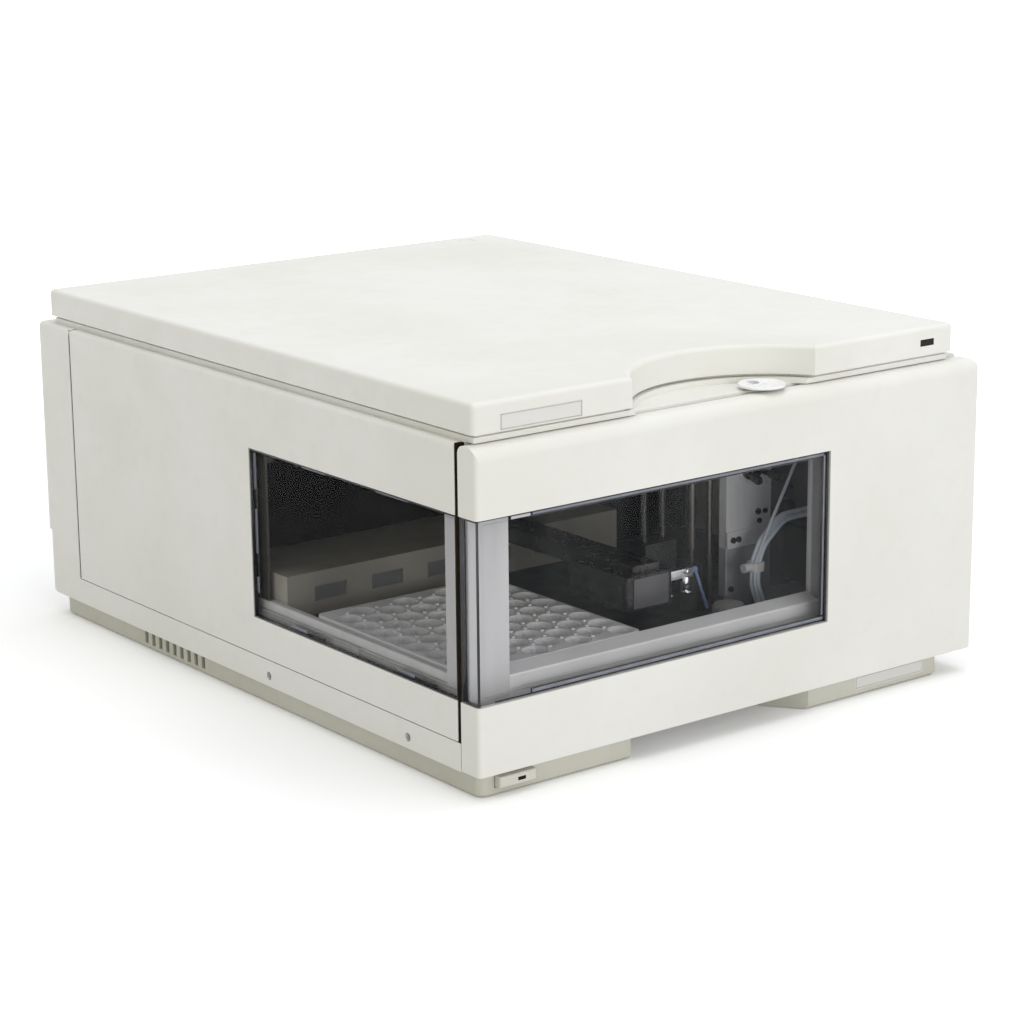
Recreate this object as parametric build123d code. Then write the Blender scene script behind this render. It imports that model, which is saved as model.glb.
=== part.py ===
from build123d import *
import os

# A liquid chromatography autosampler: a plastic cabinet on a base pan, with a front door, a side
# panel, a lift-off lid, and a sample compartment with its transport and sampling unit inside.
# Sizes are in millimetres. X runs right, Y back and Z up. The sizes and places below count from
# the front left corner of the cabinet on the floor, and the last lines centre the whole on X and Y.

# Overall size
wide = 345.0
deep = 435.0
high = 200.0

# Thicknesses and clearances that many pieces share
over = 2.0
wall = 3.0
sheet = 1.5
seam = 0.6
play = 0.06
loose = 0.5
close = 0.01
soft_edge = 1.0

# Base pan and feet
base_high = 13.0
base_inset_left = 4.3
base_inset_right = 19.0
base_inset_front = 5.6
base_inset_rear = 8.1
base_corner = 5.0
base_plate = 2.4
tunnel_left = 101.0
tunnel_right_inset = 119.0
tunnel_taper = 16.0
tunnel_taper_deep = 21.0
tunnel_deep = 140.0
vent_count = 9
vent_pitch = 7.9
vent_wide = 3.8
vent_start = 265.0
vent_low = 3.4
vent_tall = 7.0
foot_lift = 0.6
foot_radius = 9.0
foot_sunk = 1.4
foot_inset = 28.0

# Power button and its switch
button_left = 13.5
button_wide = 22.8
button_low = 5.0
button_tall = 6.0
button_front = 1.0
button_deep = 13.0
button_travel = 2.5
button_lens_left = 11.1
button_lens_wide = 4.9
button_lens_tall = 1.9
button_lens_deep = 1.6
button_stem_wide = 8.0
button_stem_tall = 3.0
button_stem_deep = 8.0
switch_wide = 16.0
switch_deep = 9.0

# Rating plate on the right foot block
plate_inset = 12.0
plate_wide = 52.5
plate_low = 3.8
plate_tall = 7.6
plate_thick = 0.4

# Cabinet shell
deck_drop = 20.0
deck_thick = 3.5
shoulder = 3.0
rail_top = 27.8
rail_deep = 4.6
rail_hole_radius = 2.4
rail_hole_z = 19.0
rail_hole_y = 60.7
rail_hole_pitch = 130.0
column_wide = 12.0
column_bottom_round = 7.0
rear_frame = 5.0
rear_step = 2.5
rear_step_top = 52.0
plinth_inset = 2.2
plinth_wide = 6.0
ridge_tall = 1.6
ridge_inset = 4.2
ridge_wide = 2.3
hinge_relief_wide = 17.0
hinge_relief_deep = 2.9
clip_hole_y = 90.6
clip_hole_pitch = 213.7
clip_hole_radius = 0.7

# Lid
lid_high = 15.6
lid_left = 3.3
lid_right_gap = 14.0
lid_front = 6.4
lid_back_gap = 7.6
lid_corner = 3.2
lid_edge = 2.6
lid_ledge = 7.0
notch_middle = 165.0
notch_radius = 72.0
notch_deep = 36.0
notch_ledge = 2.0
lid_mark_radius = 5.5
lid_mark_inset_side = 30.0
lid_mark_inset_back = 15.4
lid_mark_deep = 0.4
name_left = 19.7
name_wide = 51.1
name_drop = 15.2
name_tall = 8.5
name_thick = 0.8
lens_inset = 25.5
lens_wide = 10.3
lens_drop = 10.4
lens_tall = 3.7
lens_thick = 2.0

# Leak funnel
funnel_inset = 36.5
funnel_y = 15.0
funnel_radius = 12.5
funnel_dish = 1.0
funnel_thick = 1.6
funnel_gap = 1.4
funnel_stem_radius = 4.5
funnel_stem_y = 21.5
funnel_stem_long = 12.0
funnel_bore = 3.2

# Front door
door_deep = 14.7
door_drop = 0.5
door_top_front = 7.2
door_top_back = 4.5
door_cap = 9.0
door_corner = 5.5
door_side_round = 2.4
window_low = 49.5
window_drop = 36.1
window_lap = 6.0
pane_gap = 0.3
flange_wide = 3.5
flange_thick = 1.6
pivot_inset_side = 6.0
pivot_inset_front = 9.0
hinge_pin_radius = 2.0
hinge_arm_half = 3.5
hinge_arm_tall = 6.0
hinge_lug_tall = 6.0
hinge_low = 32.0
hinge_drop = 30.0
hinge_plate_wide = 14.0
hinge_plate_tall = 30.0
strike_wide = 8.0
strike_tall = 18.0
strike_drop = 32.0

# Side panel
side_gap = 2.6
side_low = 28.3
side_rear_gap = 35.6
side_edge = 1.5
side_window_rear = 204.1
side_corner = 5.0

# Rear panel and its fittings
rear_thick = 1.5
inlet_inset = 83.0
inlet_wide = 48.0
inlet_low = 32.0
inlet_tall = 28.0
inlet_deep = 22.0
inlet_lip = 2.0
inlet_socket_wide = 27.0
inlet_socket_tall = 20.0
inlet_socket_deep = 16.0
inlet_blade_wide = 2.0
inlet_blade_tall = 6.0
inlet_blade_pitch = 7.0
inlet_blade_long = 10.0
socket_left = 36.0
socket_low = 34.0
socket_share = 0.75
socket_tall = 13.0
socket_deep = 10.0
socket_margin = 34.0
socket_count = 4
socket_wall = 1.6
socket_cavity = 6.0
socket_core_tall = 4.0
socket_core_deep = 1.5
socket_screw_radius = 2.2
fan_x = 96.0
fan_size = 80.0
fan_deep = 25.0
fan_bore = 37.0
fan_hub = 17.0
fan_hub_deep = 18.0
fan_blade_count = 7
fan_blade_thick = 1.6
fan_blade_turn = 32.0
fan_axle = 3.0
fan_axle_long = 5.0
fan_spoke = 4.0
fan_rim_gap = 1.5
guard_wire = 1.2
guard_ring_count = 4
screw_radius = 3.4
screw_head = 1.6
screw_inset = 12.0

# Sample compartment
bay_share = 0.6956522
bay_back = 240.0
liner = 4.0
side_wall_front = 198.0
post_wide = 25.0
post_side = 18.6
post_thick = 3.0
sill_top = 59.4
sill_fall = 2.6
sill_deep = 10.0
sill_step = 3.0
sill_step_low = 50.0
side_sill_left = 6.2
side_sill_top = 58.5
side_sill_wide = 3.6
side_sill_step = 1.2
side_sill_step_z = 54.0
catch_y = 111.0
catch_wide = 23.0
catch_low = 46.0
catch_tall = 7.0
sill_lap = 8.4
right_post_gap = 11.0
right_post_wide = 22.0
floor_top = 36.0
floor_thick = 3.0

# Vial tray
tray_left = 10.6
tray_right = 125.3
tray_front = 26.0
tray_back = 158.0
tray_top = 59.6
tray_corner = 3.0
well_radius = 7.0
well_rim = 0.6
well_deep = 12.0
well_pitch = 16.3
well_first_x = 117.8
well_first_y = 33.8
pillar_radius = 2.9
pillar_drop = 1.5
nub_radius = 1.0
nub_high = 0.8

# Slotted beam behind the tray
beam_front = 185.0
beam_top = 74.0
beam_low = 50.0
beam_wall = 2.0
beam_slot_low = 57.5
beam_slot_tall = 8.3
beam_slot_wide = 21.0
beam_slot_end = 23.5
beam_slot_first = 27.5
beam_slot_count = 5

# Transport: rails, carriage, arm and gripper
rail_y = 218.0
rail_drop = 40.0
rail_apart = 16.0
rail_radius = 4.0
rail_end_thick = 6.0
rail_end_inset = 8.0
rail_bar_deep = 4.0
carriage_wide = 36.0
carriage_deep = 20.0
clamp_wide = 10.0
column_gap = 24.0
column_radius = 6.0
column_collar = 9.0
column_collar_thick = 2.5
column_lug_radius = 12.0
arm_left = 132.0
arm_wide = 33.0
arm_front = 46.0
arm_block_deep = 48.0
arm_low = 63.0
arm_tall = 18.5
arm_round = 4.0
arm_bar_half = 9.0
arm_bar_low = 77.0
arm_bar_high = 86.0
lift_rod_radius = 2.0
lift_rod_gap = 13.0
lift_rod_drop = 46.0
lift_foot_tall = 4.0
lift_y = 78.0
gripper_left = 166.5
gripper_wide = 22.0
gripper_low = 70.5
gripper_tall = 18.0
gripper_deep = 13.0
finger_front = 58.0
finger_thick = 2.0
finger_low = 62.5
finger_wide = 5.0
pulley_radius = 6.0
pulley_tall = 6.0
pulley_shaft = 2.0
belt_thick = 1.2
belt_tall = 5.0
motor_size = 28.0
motor_tall = 22.0

# Sampling unit
panel_lap = 1.0
panel_wide = 34.0
panel_front = 88.0
panel_thick = 5.5
panel_low = 42.5
panel_drop = 22.0
panel_right_gap = 6.0
seat_plate_top = 70.5
band_low = 70.5
band_tall = 9.5
band_wide = 24.0
band_proud = 1.6
stator_inset = 17.0
stator_drop = 64.0
stator_radius = 7.5
stator_proud = 5.0
rotor_radius = 12.0
rotor_long = 9.0
rotor_flat = 3.0
rotor_spindle = 3.0
panel_screw_radius = 1.7
panel_screw_head = 1.2
panel_screw_rise = 8.6
needle_gap = 14.6
needle_y = 100.0
needle_rod_apart = 13.0
needle_rod_radius = 1.7
needle_holder_radius = 2.2
needle_holder_low = 71.0
needle_radius = 1.1
needle_low = 60.0
needle_block_drop = 62.0
needle_block_tall = 14.0
needle_block_deep = 12.0
needle_head_tall = 6.0
seat_radius = 6.0
seat_top = 62.0
seat_cup_radius = 2.4
seat_cup_deep = 3.0
capillary_radius = 0.9
capillary_left = 3.4
capillary_right = 5.8
capillary_drop = 1.2
bundle_y = 66.0
bundle_bend = 16.0
# The middle line from the pump's top to the left and down to the leak tray: how far each point lies
# right of the panel's left edge, and its height. The first point's height is set by the pump.
bundle_route = [
    (58.0, 80.6), (50.0, 90.1), (22.5, 90.1), (7.5, 77.5), (2.3, 66.5), (2.4, 54.0), (7.8, 40.5),
    (8.6, 21.0),
]
tube_radius = 1.2
tube_spread = 2.6
# A thin tube from the deck down to the bundle's fifth point, from where it lies in the bundle: the same
# places of its start and of its bend above the bundle.
waste_radius = 0.9
waste_start = 62.0
waste_bend = (8.1, 80.6)
waste_joins = 4
clip_inset = 2.75
clip_z = 65.0
clip_thick = 1.2
clip_tall = 5.0
clip_head_long = 5.0
cap_x = 199.0
cap_y = 40.5
cap_radius = 9.0
cap_top = 57.0
cap_rib_count = 28
cap_rib = 0.5
pump_inset = 61.0
pump_y = 62.0
pump_z = 62.0
pump_size = 34.0
pump_rotor_radius = 13.0
pump_rotor_deep = 8.0
pump_shaft = 2.5

# Electronics bay
board_left = 20.0
board_gap = 11.0
board_front = 256.0
board_back_gap = 37.0
board_z = 24.0
board_thick = 1.6
chip_tall = 6.0
chip_shares = ((0.1, 0.15, 0.16), (0.4, 0.1, 0.2), (0.7, 0.35, 0.14), (0.15, 0.6, 0.22))
board_post_radius = 3.0
board_post_inset = 8.0
supply_wide = 118.0
supply_gap = 11.0
supply_front = 256.0
supply_back_gap = 43.0
supply_tall = 44.0

# Levels and faces that follow from the sizes above
deck_top = high - deck_drop
deck_under = deck_top - deck_thick
shell_front = door_deep + seam
shell_floor = base_high + wall
lid_bottom = high - lid_high
lid_right = wide - lid_right_gap
lid_back = deep - lid_back_gap
lid_mark_x = lid_right - lid_mark_inset_side
lid_mark_y = lid_back - lid_mark_inset_back
name_low = high - name_drop
lens_left = lid_right - lens_inset
lens_low = high - lens_drop
notch_y = lid_front + notch_deep - notch_radius
door_low = base_high + loose
door_top = deck_top - door_drop
rear_face = deep - rear_frame
rear_inside = rear_face - rear_thick
pivot_x = wide - pivot_inset_side
pivot_y = pivot_inset_front
inside_right = wide - wall
base_front = base_inset_front
base_back = deep - base_inset_rear
base_right = wide - base_inset_right
tunnel_right = wide - tunnel_right_inset
plate_left = base_right - plate_inset - plate_wide
side_front = door_deep + side_gap
side_rear = deep - side_rear_gap
window_high = deck_top - window_drop
bay_right = wide * bay_share
window_right = bay_right - window_lap
sill_right = window_right + sill_lap
right_post_left = window_right + right_post_gap
funnel_x = window_right - funnel_inset
column_y = rail_y - column_gap
hinge_high = deck_top - hinge_drop
strike_low = deck_top - strike_drop
inlet_left = wide - inlet_inset
socket_pitch = (inlet_left - socket_left - socket_margin) / socket_count
socket_wide = socket_pitch * socket_share
fan_z = (socket_low + socket_tall + deck_under - column_wide) / 2
beam_slot_pitch = (bay_right - beam_slot_first - beam_slot_end) / beam_slot_count
rail_low_z = deck_top - rail_drop
rail_high_z = rail_low_z + rail_apart
rail_bar_low = rail_low_z - rail_radius * 2
rail_bar_high = rail_high_z + rail_radius * 2
lift_rod_top = deck_top - lift_rod_drop
pulley_z = rail_bar_high + sheet
panel_left = bay_right - panel_lap
panel_top = deck_top - panel_drop
stator_x = panel_left + stator_inset
stator_z = deck_top - stator_drop
needle_x = panel_left - needle_gap
needle_rod_x = needle_x + needle_rod_apart
needle_block_low = deck_top - needle_block_drop
needle_head_low = panel_top - needle_head_tall
clip_x = panel_left + clip_inset
pump_x = panel_left + pump_inset
supply_right = wide - supply_gap
supply_left = supply_right - supply_wide
supply_back = deep - supply_back_gap
board_right = supply_left - board_gap
board_back = deep - board_back_gap
arm_middle = arm_left + arm_wide / 2
carriage_x = arm_middle


def block(x0, x1, y0, y1, z0, z1):
    """A box between two corners."""
    lowest = (Align.MIN, Align.MIN, Align.MIN)
    return Pos(x0, y0, z0) * Box(x1 - x0, y1 - y0, z1 - z0, align=lowest)


def rod(x, y, z, axis, radius, length):
    """A cylinder that starts at a point and runs along an axis."""
    turns = {"x": Rot(0, 90, 0), "y": Rot(-90, 0, 0), "z": Rot(0, 0, 0)}
    foot = (Align.CENTER, Align.CENTER, Align.MIN)
    return Pos(x, y, z) * turns[axis] * Cylinder(radius, length, align=foot)


def prism(points, z0, z1):
    """A plan outline raised from one level to another."""
    outline = make_face(Polyline(*[(x, y, z0) for x, y in points], close=True))
    return extrude(outline, amount=z1 - z0, dir=(0, 0, 1))


def near(shape, axis, **place):
    """The edges along an axis whose middles lie at the given coordinates."""
    picked = []
    for edge in shape.edges().filter_by(axis):
        middle = edge.center()
        if all(abs(getattr(middle, name.upper()) - at) < close for name, at in place.items()):
            picked.append(edge)
    return picked


def save(name, shape):
    """Writes one piece, centred on X and Y over the floor."""
    centred = Pos(-wide / 2, -deep / 2, 0) * shape
    export_step(centred, "parts/" + name + ".step")


# Base

def tunnel(grow):
    """The plan of the open tunnel under the front, grown by a wall."""
    taper_y = base_front + tunnel_taper_deep
    back = base_front + tunnel_deep + grow
    return [
        (tunnel_left - grow, base_front - over),
        (tunnel_right + grow, base_front - over),
        (tunnel_right + grow, base_front),
        (tunnel_right - tunnel_taper + grow, taper_y),
        (tunnel_right - tunnel_taper + grow, back),
        (tunnel_left - grow, back),
    ]


def foot_places():
    """The middles of the four rubber feet."""
    lefts = (base_inset_left + foot_inset, base_right - foot_inset)
    fronts = (base_front + foot_inset, base_back - foot_inset)
    return [(x, y) for x in lefts for y in fronts]


def base_pan():
    whole = block(base_inset_left, base_right, base_front, base_back, foot_lift, base_high)
    whole = fillet(whole.edges().filter_by(Axis.Z), base_corner)
    whole = chamfer(whole.faces().sort_by(Axis.Z)[0].edges(), soft_edge)
    floor = foot_lift + base_plate
    hollow = block(base_inset_left + wall, base_right - wall, base_front + wall, base_back - wall,
                   floor, base_high + over)
    hollow -= prism(tunnel(wall), 0, high)
    pan = whole - hollow - prism(tunnel(0), 0, high)
    for number in range(vent_count):
        y = vent_start + number * vent_pitch
        low = vent_low
        pan -= block(base_inset_left - over, base_inset_left + wall + loose, y, y + vent_wide,
                     low, low + vent_tall)
        pan -= block(base_right - wall - loose, base_right + over, y, y + vent_wide,
                     low, low + vent_tall)
    for x, y in foot_places():
        pan -= rod(x, y, 0, "z", foot_radius, foot_lift + foot_sunk)
    pan -= block(button_left - loose, button_left + button_wide + loose, base_front - over,
                 base_front + wall + loose, button_low - loose, button_low + button_tall + loose)
    pan -= block(plate_left, plate_left + plate_wide, base_front - over, base_front + plate_thick,
                 plate_low, plate_low + plate_tall)
    middle = button_left + button_wide / 2
    stem_end = button_front + button_deep + button_stem_deep
    switch = block(middle - switch_wide / 2, middle + switch_wide / 2, stem_end + button_travel + loose,
                   stem_end + button_travel + loose + switch_deep, floor, base_high)
    return pan + switch


def rubber_feet():
    feet = []
    for x, y in foot_places():
        foot = rod(x, y, 0, "z", foot_radius, foot_lift + foot_sunk)
        feet.append(chamfer(foot.edges().sort_by(Axis.Z)[0], foot_lift / 2))
    return Compound(feet)


def rating_plate():
    return block(plate_left, plate_left + plate_wide, base_front, base_front + plate_thick,
                 plate_low, plate_low + plate_tall)


def button_lens():
    left = button_left + button_lens_left
    low = button_low + (button_tall - button_lens_tall) / 2
    return block(left, left + button_lens_wide, button_front, button_front + button_lens_deep,
                 low, low + button_lens_tall)


def power_button():
    right = button_left + button_wide
    top = button_low + button_tall
    cap = block(button_left, right, button_front, button_front + button_deep, button_low, top)
    cap = fillet(cap.faces().sort_by(Axis.Y)[0].edges(), soft_edge)
    middle = (button_left + right) / 2
    stem_low = button_low + (button_tall - button_stem_tall) / 2
    stem_front = button_front + button_deep
    stem = block(middle - button_stem_wide / 2, middle + button_stem_wide / 2, stem_front,
                 stem_front + button_stem_deep, stem_low, stem_low + button_stem_tall)
    return cap + stem - button_lens()


# Cabinet

def notch_disc(radius, z0, z1):
    """The round cut-out at the front of the lid."""
    return rod(notch_middle, notch_y, z0, "z", radius, z1 - z0)


def cabinet_body():
    """The full outer form of the cabinet with its rounded shoulders."""
    body = block(0, wide, shell_front, deep, base_high, deck_top)
    shoulders = near(body, Axis.Y, z=deck_top)
    body = fillet(shoulders, shoulder)
    return fillet(near(body, Axis.X, y=deep, z=base_high), column_bottom_round)


def lid_plinth():
    """A ring on the deck, with a narrow ridge on it that holds the lid a little above the ring."""
    ring_top = lid_bottom - ridge_tall
    ring = block(lid_left + plinth_inset, lid_right - plinth_inset, lid_front + plinth_inset,
                 lid_back - plinth_inset, deck_top, ring_top)
    ring = fillet(ring.edges().filter_by(Axis.Z), soft_edge)
    ridge = lid_plan(ridge_inset, ring_top, lid_bottom)
    ridge -= lid_plan(ridge_inset + ridge_wide, ring_top, lid_bottom)
    inner = plinth_inset + plinth_wide
    hollow = block(lid_left + inner, lid_right - inner, notch_y + notch_radius + inner,
                   lid_back - inner, deck_top, lid_bottom)
    return (ring + ridge) - hollow - notch_disc(notch_radius - notch_ledge, deck_top, high)


def cabinet_shell():
    shell = cabinet_body()
    inside = block(wall, inside_right, shell_front - over, rear_face, shell_floor, deck_under)
    rear_hole = block(column_wide, wide - column_wide, rear_face - over, deep + over,
                      shell_floor + column_wide, deck_under - column_wide)
    rear_cut = block(-over, wide + over, deep - rear_step, deep + over, 0, rear_step_top)
    door_end = side_rear + seam
    side_roof = deck_top + seam
    side_cut = block(-over, rail_deep, shell_front - over, door_end, rail_top, side_roof)
    side_cut = fillet(near(side_cut, Axis.X, y=door_end, z=side_roof), side_corner + seam)
    relief = block(wide - hinge_relief_wide, wide + over, shell_front - over,
                   shell_front + hinge_relief_deep, base_high - over, high)
    shell = shell - inside - rear_hole - rear_cut - side_cut - relief
    shell += lid_plinth()
    shell -= rod(funnel_x, funnel_stem_y, deck_under - over, "z", funnel_stem_radius + loose, high)
    for number in range(2):
        y = rail_hole_y + number * rail_hole_pitch
        shell -= rod(-over, y, rail_hole_z, "x", rail_hole_radius, wall + over + over)
        y = clip_hole_y + number * clip_hole_pitch
        shell -= rod(rail_deep, y, deck_under, "z", clip_hole_radius, deck_thick + over)
    return shell


def leak_funnel():
    low = deck_top + funnel_gap
    dish = rod(funnel_x, funnel_y, low, "z", funnel_radius, funnel_thick)
    dish = fillet(dish.edges().filter_by(GeomType.CIRCLE), funnel_thick / 3)
    sphere_radius = (funnel_radius ** 2 + funnel_dish ** 2) / (2 * funnel_dish)
    sphere_z = low + funnel_thick - funnel_dish + sphere_radius
    dish -= Pos(funnel_x, funnel_y, sphere_z) * Sphere(sphere_radius)
    stem_low = deck_top - funnel_stem_long
    stem_top = low + funnel_thick / 3
    stem = rod(funnel_x, funnel_stem_y, stem_low, "z", funnel_stem_radius, stem_top - stem_low)
    collar = rod(funnel_x, funnel_stem_y, deck_top, "z", funnel_stem_radius + funnel_gap, funnel_gap)
    return dish + stem + collar - rod(funnel_x, funnel_stem_y, 0, "z", funnel_bore, high)


# Lid

def name_plate():
    return block(name_left, name_left + name_wide, lid_front, lid_front + name_thick,
                 name_low, name_low + name_tall)


def status_lens():
    return block(lens_left, lens_left + lens_wide, lid_front, lid_front + lens_thick,
                 lens_low, lens_low + lens_tall)


def lid_plan(inset, z0, z1):
    """The lid's outline with its notch, drawn in by an inset."""
    plan = block(lid_left + inset, lid_right - inset, lid_front + inset, lid_back - inset, z0, z1)
    return plan - notch_disc(notch_radius + inset, z0 - over, z1 + over)


def top_cover():
    cover = block(lid_left, lid_right, lid_front, lid_back, lid_bottom, high)
    cover = fillet(cover.edges().filter_by(Axis.Z), lid_corner)
    cover -= notch_disc(notch_radius, lid_bottom - over, high + over)
    rims = [edge for edge in cover.edges() if abs(edge.center().Z - high) < close]
    cover = fillet(rims, lid_edge)
    cover -= lid_plan(lid_ledge, lid_bottom - over, lid_bottom + sheet)
    cover -= lid_plan(wall, lid_bottom + sheet, high - wall)
    cover -= rod(lid_mark_x, lid_mark_y, high - lid_mark_deep, "z", lid_mark_radius, over)
    return cover - name_plate() - status_lens()


# Front door

def door_form():
    """The full outer form of the front door: an arch from the side, one round corner from the front."""
    side = block(0, wide, 0, door_deep, door_low, door_top)
    side = fillet(near(side, Axis.X, y=0, z=door_top), door_top_front)
    side = fillet(near(side, Axis.X, y=door_deep, z=door_top), door_top_back)
    front = block(0, wide, -over, door_deep + over, door_low, door_top)
    front = fillet(near(front, Axis.Y, x=wide, z=door_top), door_corner)
    plan = block(0, wide, 0, door_deep + over, 0, high)
    plan = fillet(near(plan, Axis.Z, x=0, y=0), door_side_round)
    plan = fillet(near(plan, Axis.Z, x=wide, y=0), soft_edge)
    return side & front & plan


def front_door():
    door = door_form()
    door -= block(wall, inside_right, wall, door_deep + over, door_low + wall, door_top - door_cap)
    door -= block(-over, window_right, -over, wall + over, window_low, window_high)
    door -= block(-over, wall + over, -over, door_deep + over, window_low, window_high)
    for low in (hinge_low, hinge_high):
        arm_z = low + hinge_lug_tall + loose
        for lug_low in (low, arm_z + hinge_arm_tall + loose):
            lug = block(pivot_x - pivot_inset_side, inside_right, wall, pivot_y + hinge_arm_half,
                        lug_low, lug_low + hinge_lug_tall)
            door += lug - rod(pivot_x, pivot_y, lug_low - over, "z", hinge_pin_radius + play,
                              hinge_lug_tall + over + over)
        door -= block(inside_right - over, wide + over, wall, door_deep + over,
                      arm_z - loose, arm_z + hinge_arm_tall + loose)
    return door


def front_window():
    low = window_low + pane_gap
    tall = window_high - pane_gap
    front = block(pane_gap, window_right - pane_gap, pane_gap, wall, low, tall)
    side = block(pane_gap, wall, pane_gap, door_deep, low, tall)
    pane = front + side
    pane = fillet(near(pane, Axis.Z, x=pane_gap, y=pane_gap), door_side_round - pane_gap)
    rim = block(wall + pane_gap, window_right + flange_wide, wall, wall + flange_thick,
                window_low - flange_wide, window_high + flange_wide)
    rim_hole = block(wall + flange_wide, window_right - flange_wide, wall - over,
                     wall + flange_thick + over, window_low + flange_wide, window_high - flange_wide)
    return pane + (rim - rim_hole)


def door_strike():
    left = wall
    return block(left, left + strike_wide, wall, wall + sheet, strike_low, strike_low + strike_tall)


def door_hinges():
    """Two steel arms with their pins, each on its own plate behind the door's right end."""
    post_y = shell_front + hinge_relief_deep + loose
    plates = []
    for low in (hinge_low, hinge_high):
        arm_z = low + hinge_lug_tall + loose
        top = arm_z + hinge_arm_tall
        arm = block(pivot_x - hinge_arm_half, pivot_x + pivot_inset_side - wall, pivot_y, post_y + sheet,
                    arm_z, top)
        eye = rod(pivot_x, pivot_y, arm_z, "z", hinge_arm_half, hinge_arm_tall)
        pin = rod(pivot_x, pivot_y, low, "z", hinge_pin_radius,
                  2 * hinge_lug_tall + hinge_arm_tall + 2 * loose)
        middle = (arm_z + top) / 2
        plate = block(inside_right - hinge_plate_wide, inside_right, post_y, post_y + sheet,
                      middle - hinge_plate_tall / 2, middle + hinge_plate_tall / 2)
        plates.append(arm + eye + pin + plate)
    return Compound(plates)


# Side panel

def side_form():
    """The side panel's outer form, cut from the same shoulder as the cabinet."""
    body = block(0, wide, 0, deep, 0, deck_top)
    body = fillet(near(body, Axis.Y, z=deck_top), shoulder)
    view = block(-over, rail_deep - seam, side_front, side_rear, side_low, deck_top)
    view = fillet(near(view, Axis.X, y=side_rear, z=deck_top), side_corner)
    plan = block(0, wide, side_front, side_rear, 0, high)
    plan = fillet(near(plan, Axis.Z, x=0), side_edge)
    return body & view & plan


def side_door():
    door = side_form()
    door -= block(wall, wide, 0, deep, 0, deck_top - shoulder)
    door -= block(-over, wall + over, 0, side_window_rear, window_low, window_high)
    return door


def side_window():
    pane = block(pane_gap, wall, side_front + pane_gap, side_window_rear - pane_gap,
                 window_low + pane_gap, window_high - pane_gap)
    rim = block(wall, wall + flange_thick, side_front + pane_gap, side_window_rear + flange_wide,
                window_low - flange_wide, window_high + flange_wide)
    rim_hole = block(wall - over, wall + flange_thick + over, side_front + flange_wide,
                     side_window_rear - flange_wide, window_low + flange_wide, window_high - flange_wide)
    return pane + (rim - rim_hole)


# Rear panel and fittings

def fan_centre():
    """The middle of the fan on the rear panel's inner face."""
    return fan_x, rear_inside, fan_z


def rear_fixings():
    """The places of the rear panel's screws."""
    left = column_wide + screw_inset
    right = wide - left
    low = shell_floor + column_wide + screw_radius + over
    top = deck_under - column_wide - screw_radius - over
    between = inlet_left - screw_inset * 2
    return [(left, low), (between, low), (right, low), (left, top), (wide / 2, top), (right, top)]


def socket_places():
    """The left edge of each data socket."""
    return [socket_left + number * socket_pitch for number in range(socket_count)]


def rear_panel():
    panel = block(wall, inside_right, rear_inside, rear_face, shell_floor, deck_under)
    panel -= block(inlet_left, inlet_left + inlet_wide, rear_inside - over, deep, inlet_low,
                   inlet_low + inlet_tall)
    for left in socket_places():
        panel -= block(left, left + socket_wide, rear_inside - over, deep, socket_low,
                       socket_low + socket_tall)
    panel -= rod(fan_x, rear_inside - over, fan_z, "y", fan_bore, rear_thick + over + over)
    return panel


def rear_screws():
    heads = []
    for x, z in rear_fixings():
        head = rod(x, rear_face, z, "y", screw_radius, screw_head)
        heads.append(chamfer(head.edges().sort_by(Axis.Y)[-1], screw_head / 3))
    return Compound(heads)


def power_inlet():
    right = inlet_left + inlet_wide
    top = inlet_low + inlet_tall
    body = block(inlet_left, right, rear_face - inlet_deep, rear_face, inlet_low, top)
    lip = block(inlet_left - inlet_lip, right + inlet_lip, rear_face, rear_face + inlet_lip,
                inlet_low - inlet_lip, top + inlet_lip)
    inlet = body + fillet(lip.edges().filter_by(Axis.Y), inlet_lip)
    middle = (inlet_left + right) / 2
    level = (inlet_low + top) / 2
    floor = rear_face + inlet_lip - inlet_socket_deep
    well = block(middle - inlet_socket_wide / 2, middle + inlet_socket_wide / 2, floor, deep,
                 level - inlet_socket_tall / 2, level + inlet_socket_tall / 2)
    inlet -= chamfer(near(well, Axis.Y, z=level + inlet_socket_tall / 2), inlet_socket_tall / 4)
    for step in (-1, 0, 1):
        blade_x = middle + step * inlet_blade_pitch
        raised = level + (1 - abs(step)) * inlet_blade_tall / 2 - inlet_blade_tall / 4
        inlet += block(blade_x - inlet_blade_wide / 2, blade_x + inlet_blade_wide / 2, floor,
                       floor + inlet_blade_long, raised - inlet_blade_tall / 2,
                       raised + inlet_blade_tall / 2)
    return inlet


def data_sockets():
    sockets = []
    for left in socket_places():
        right = left + socket_wide
        top = socket_low + socket_tall
        body = block(left, right, rear_face - socket_deep, rear_face + inlet_lip, socket_low, top)
        inner = socket_wall + socket_screw_radius * 2 + socket_wall
        well = block(left + inner, right - inner, rear_face + inlet_lip - socket_cavity, deep,
                     socket_low + socket_wall, top - socket_wall)
        core_low = (socket_low + top - socket_core_tall) / 2
        core_back = rear_face - socket_cavity + inlet_lip
        core = block(left + inner + socket_wall, right - inner - socket_wall,
                     core_back - over, core_back + socket_core_deep, core_low,
                     core_low + socket_core_tall)
        body = body - well + core
        for screw_x in (left + inner / 2, right - inner / 2):
            body += rod(screw_x, rear_face + inlet_lip, (socket_low + top) / 2, "y",
                        socket_screw_radius, socket_wall)
        sockets.append(body)
    return Compound(sockets)


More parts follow.
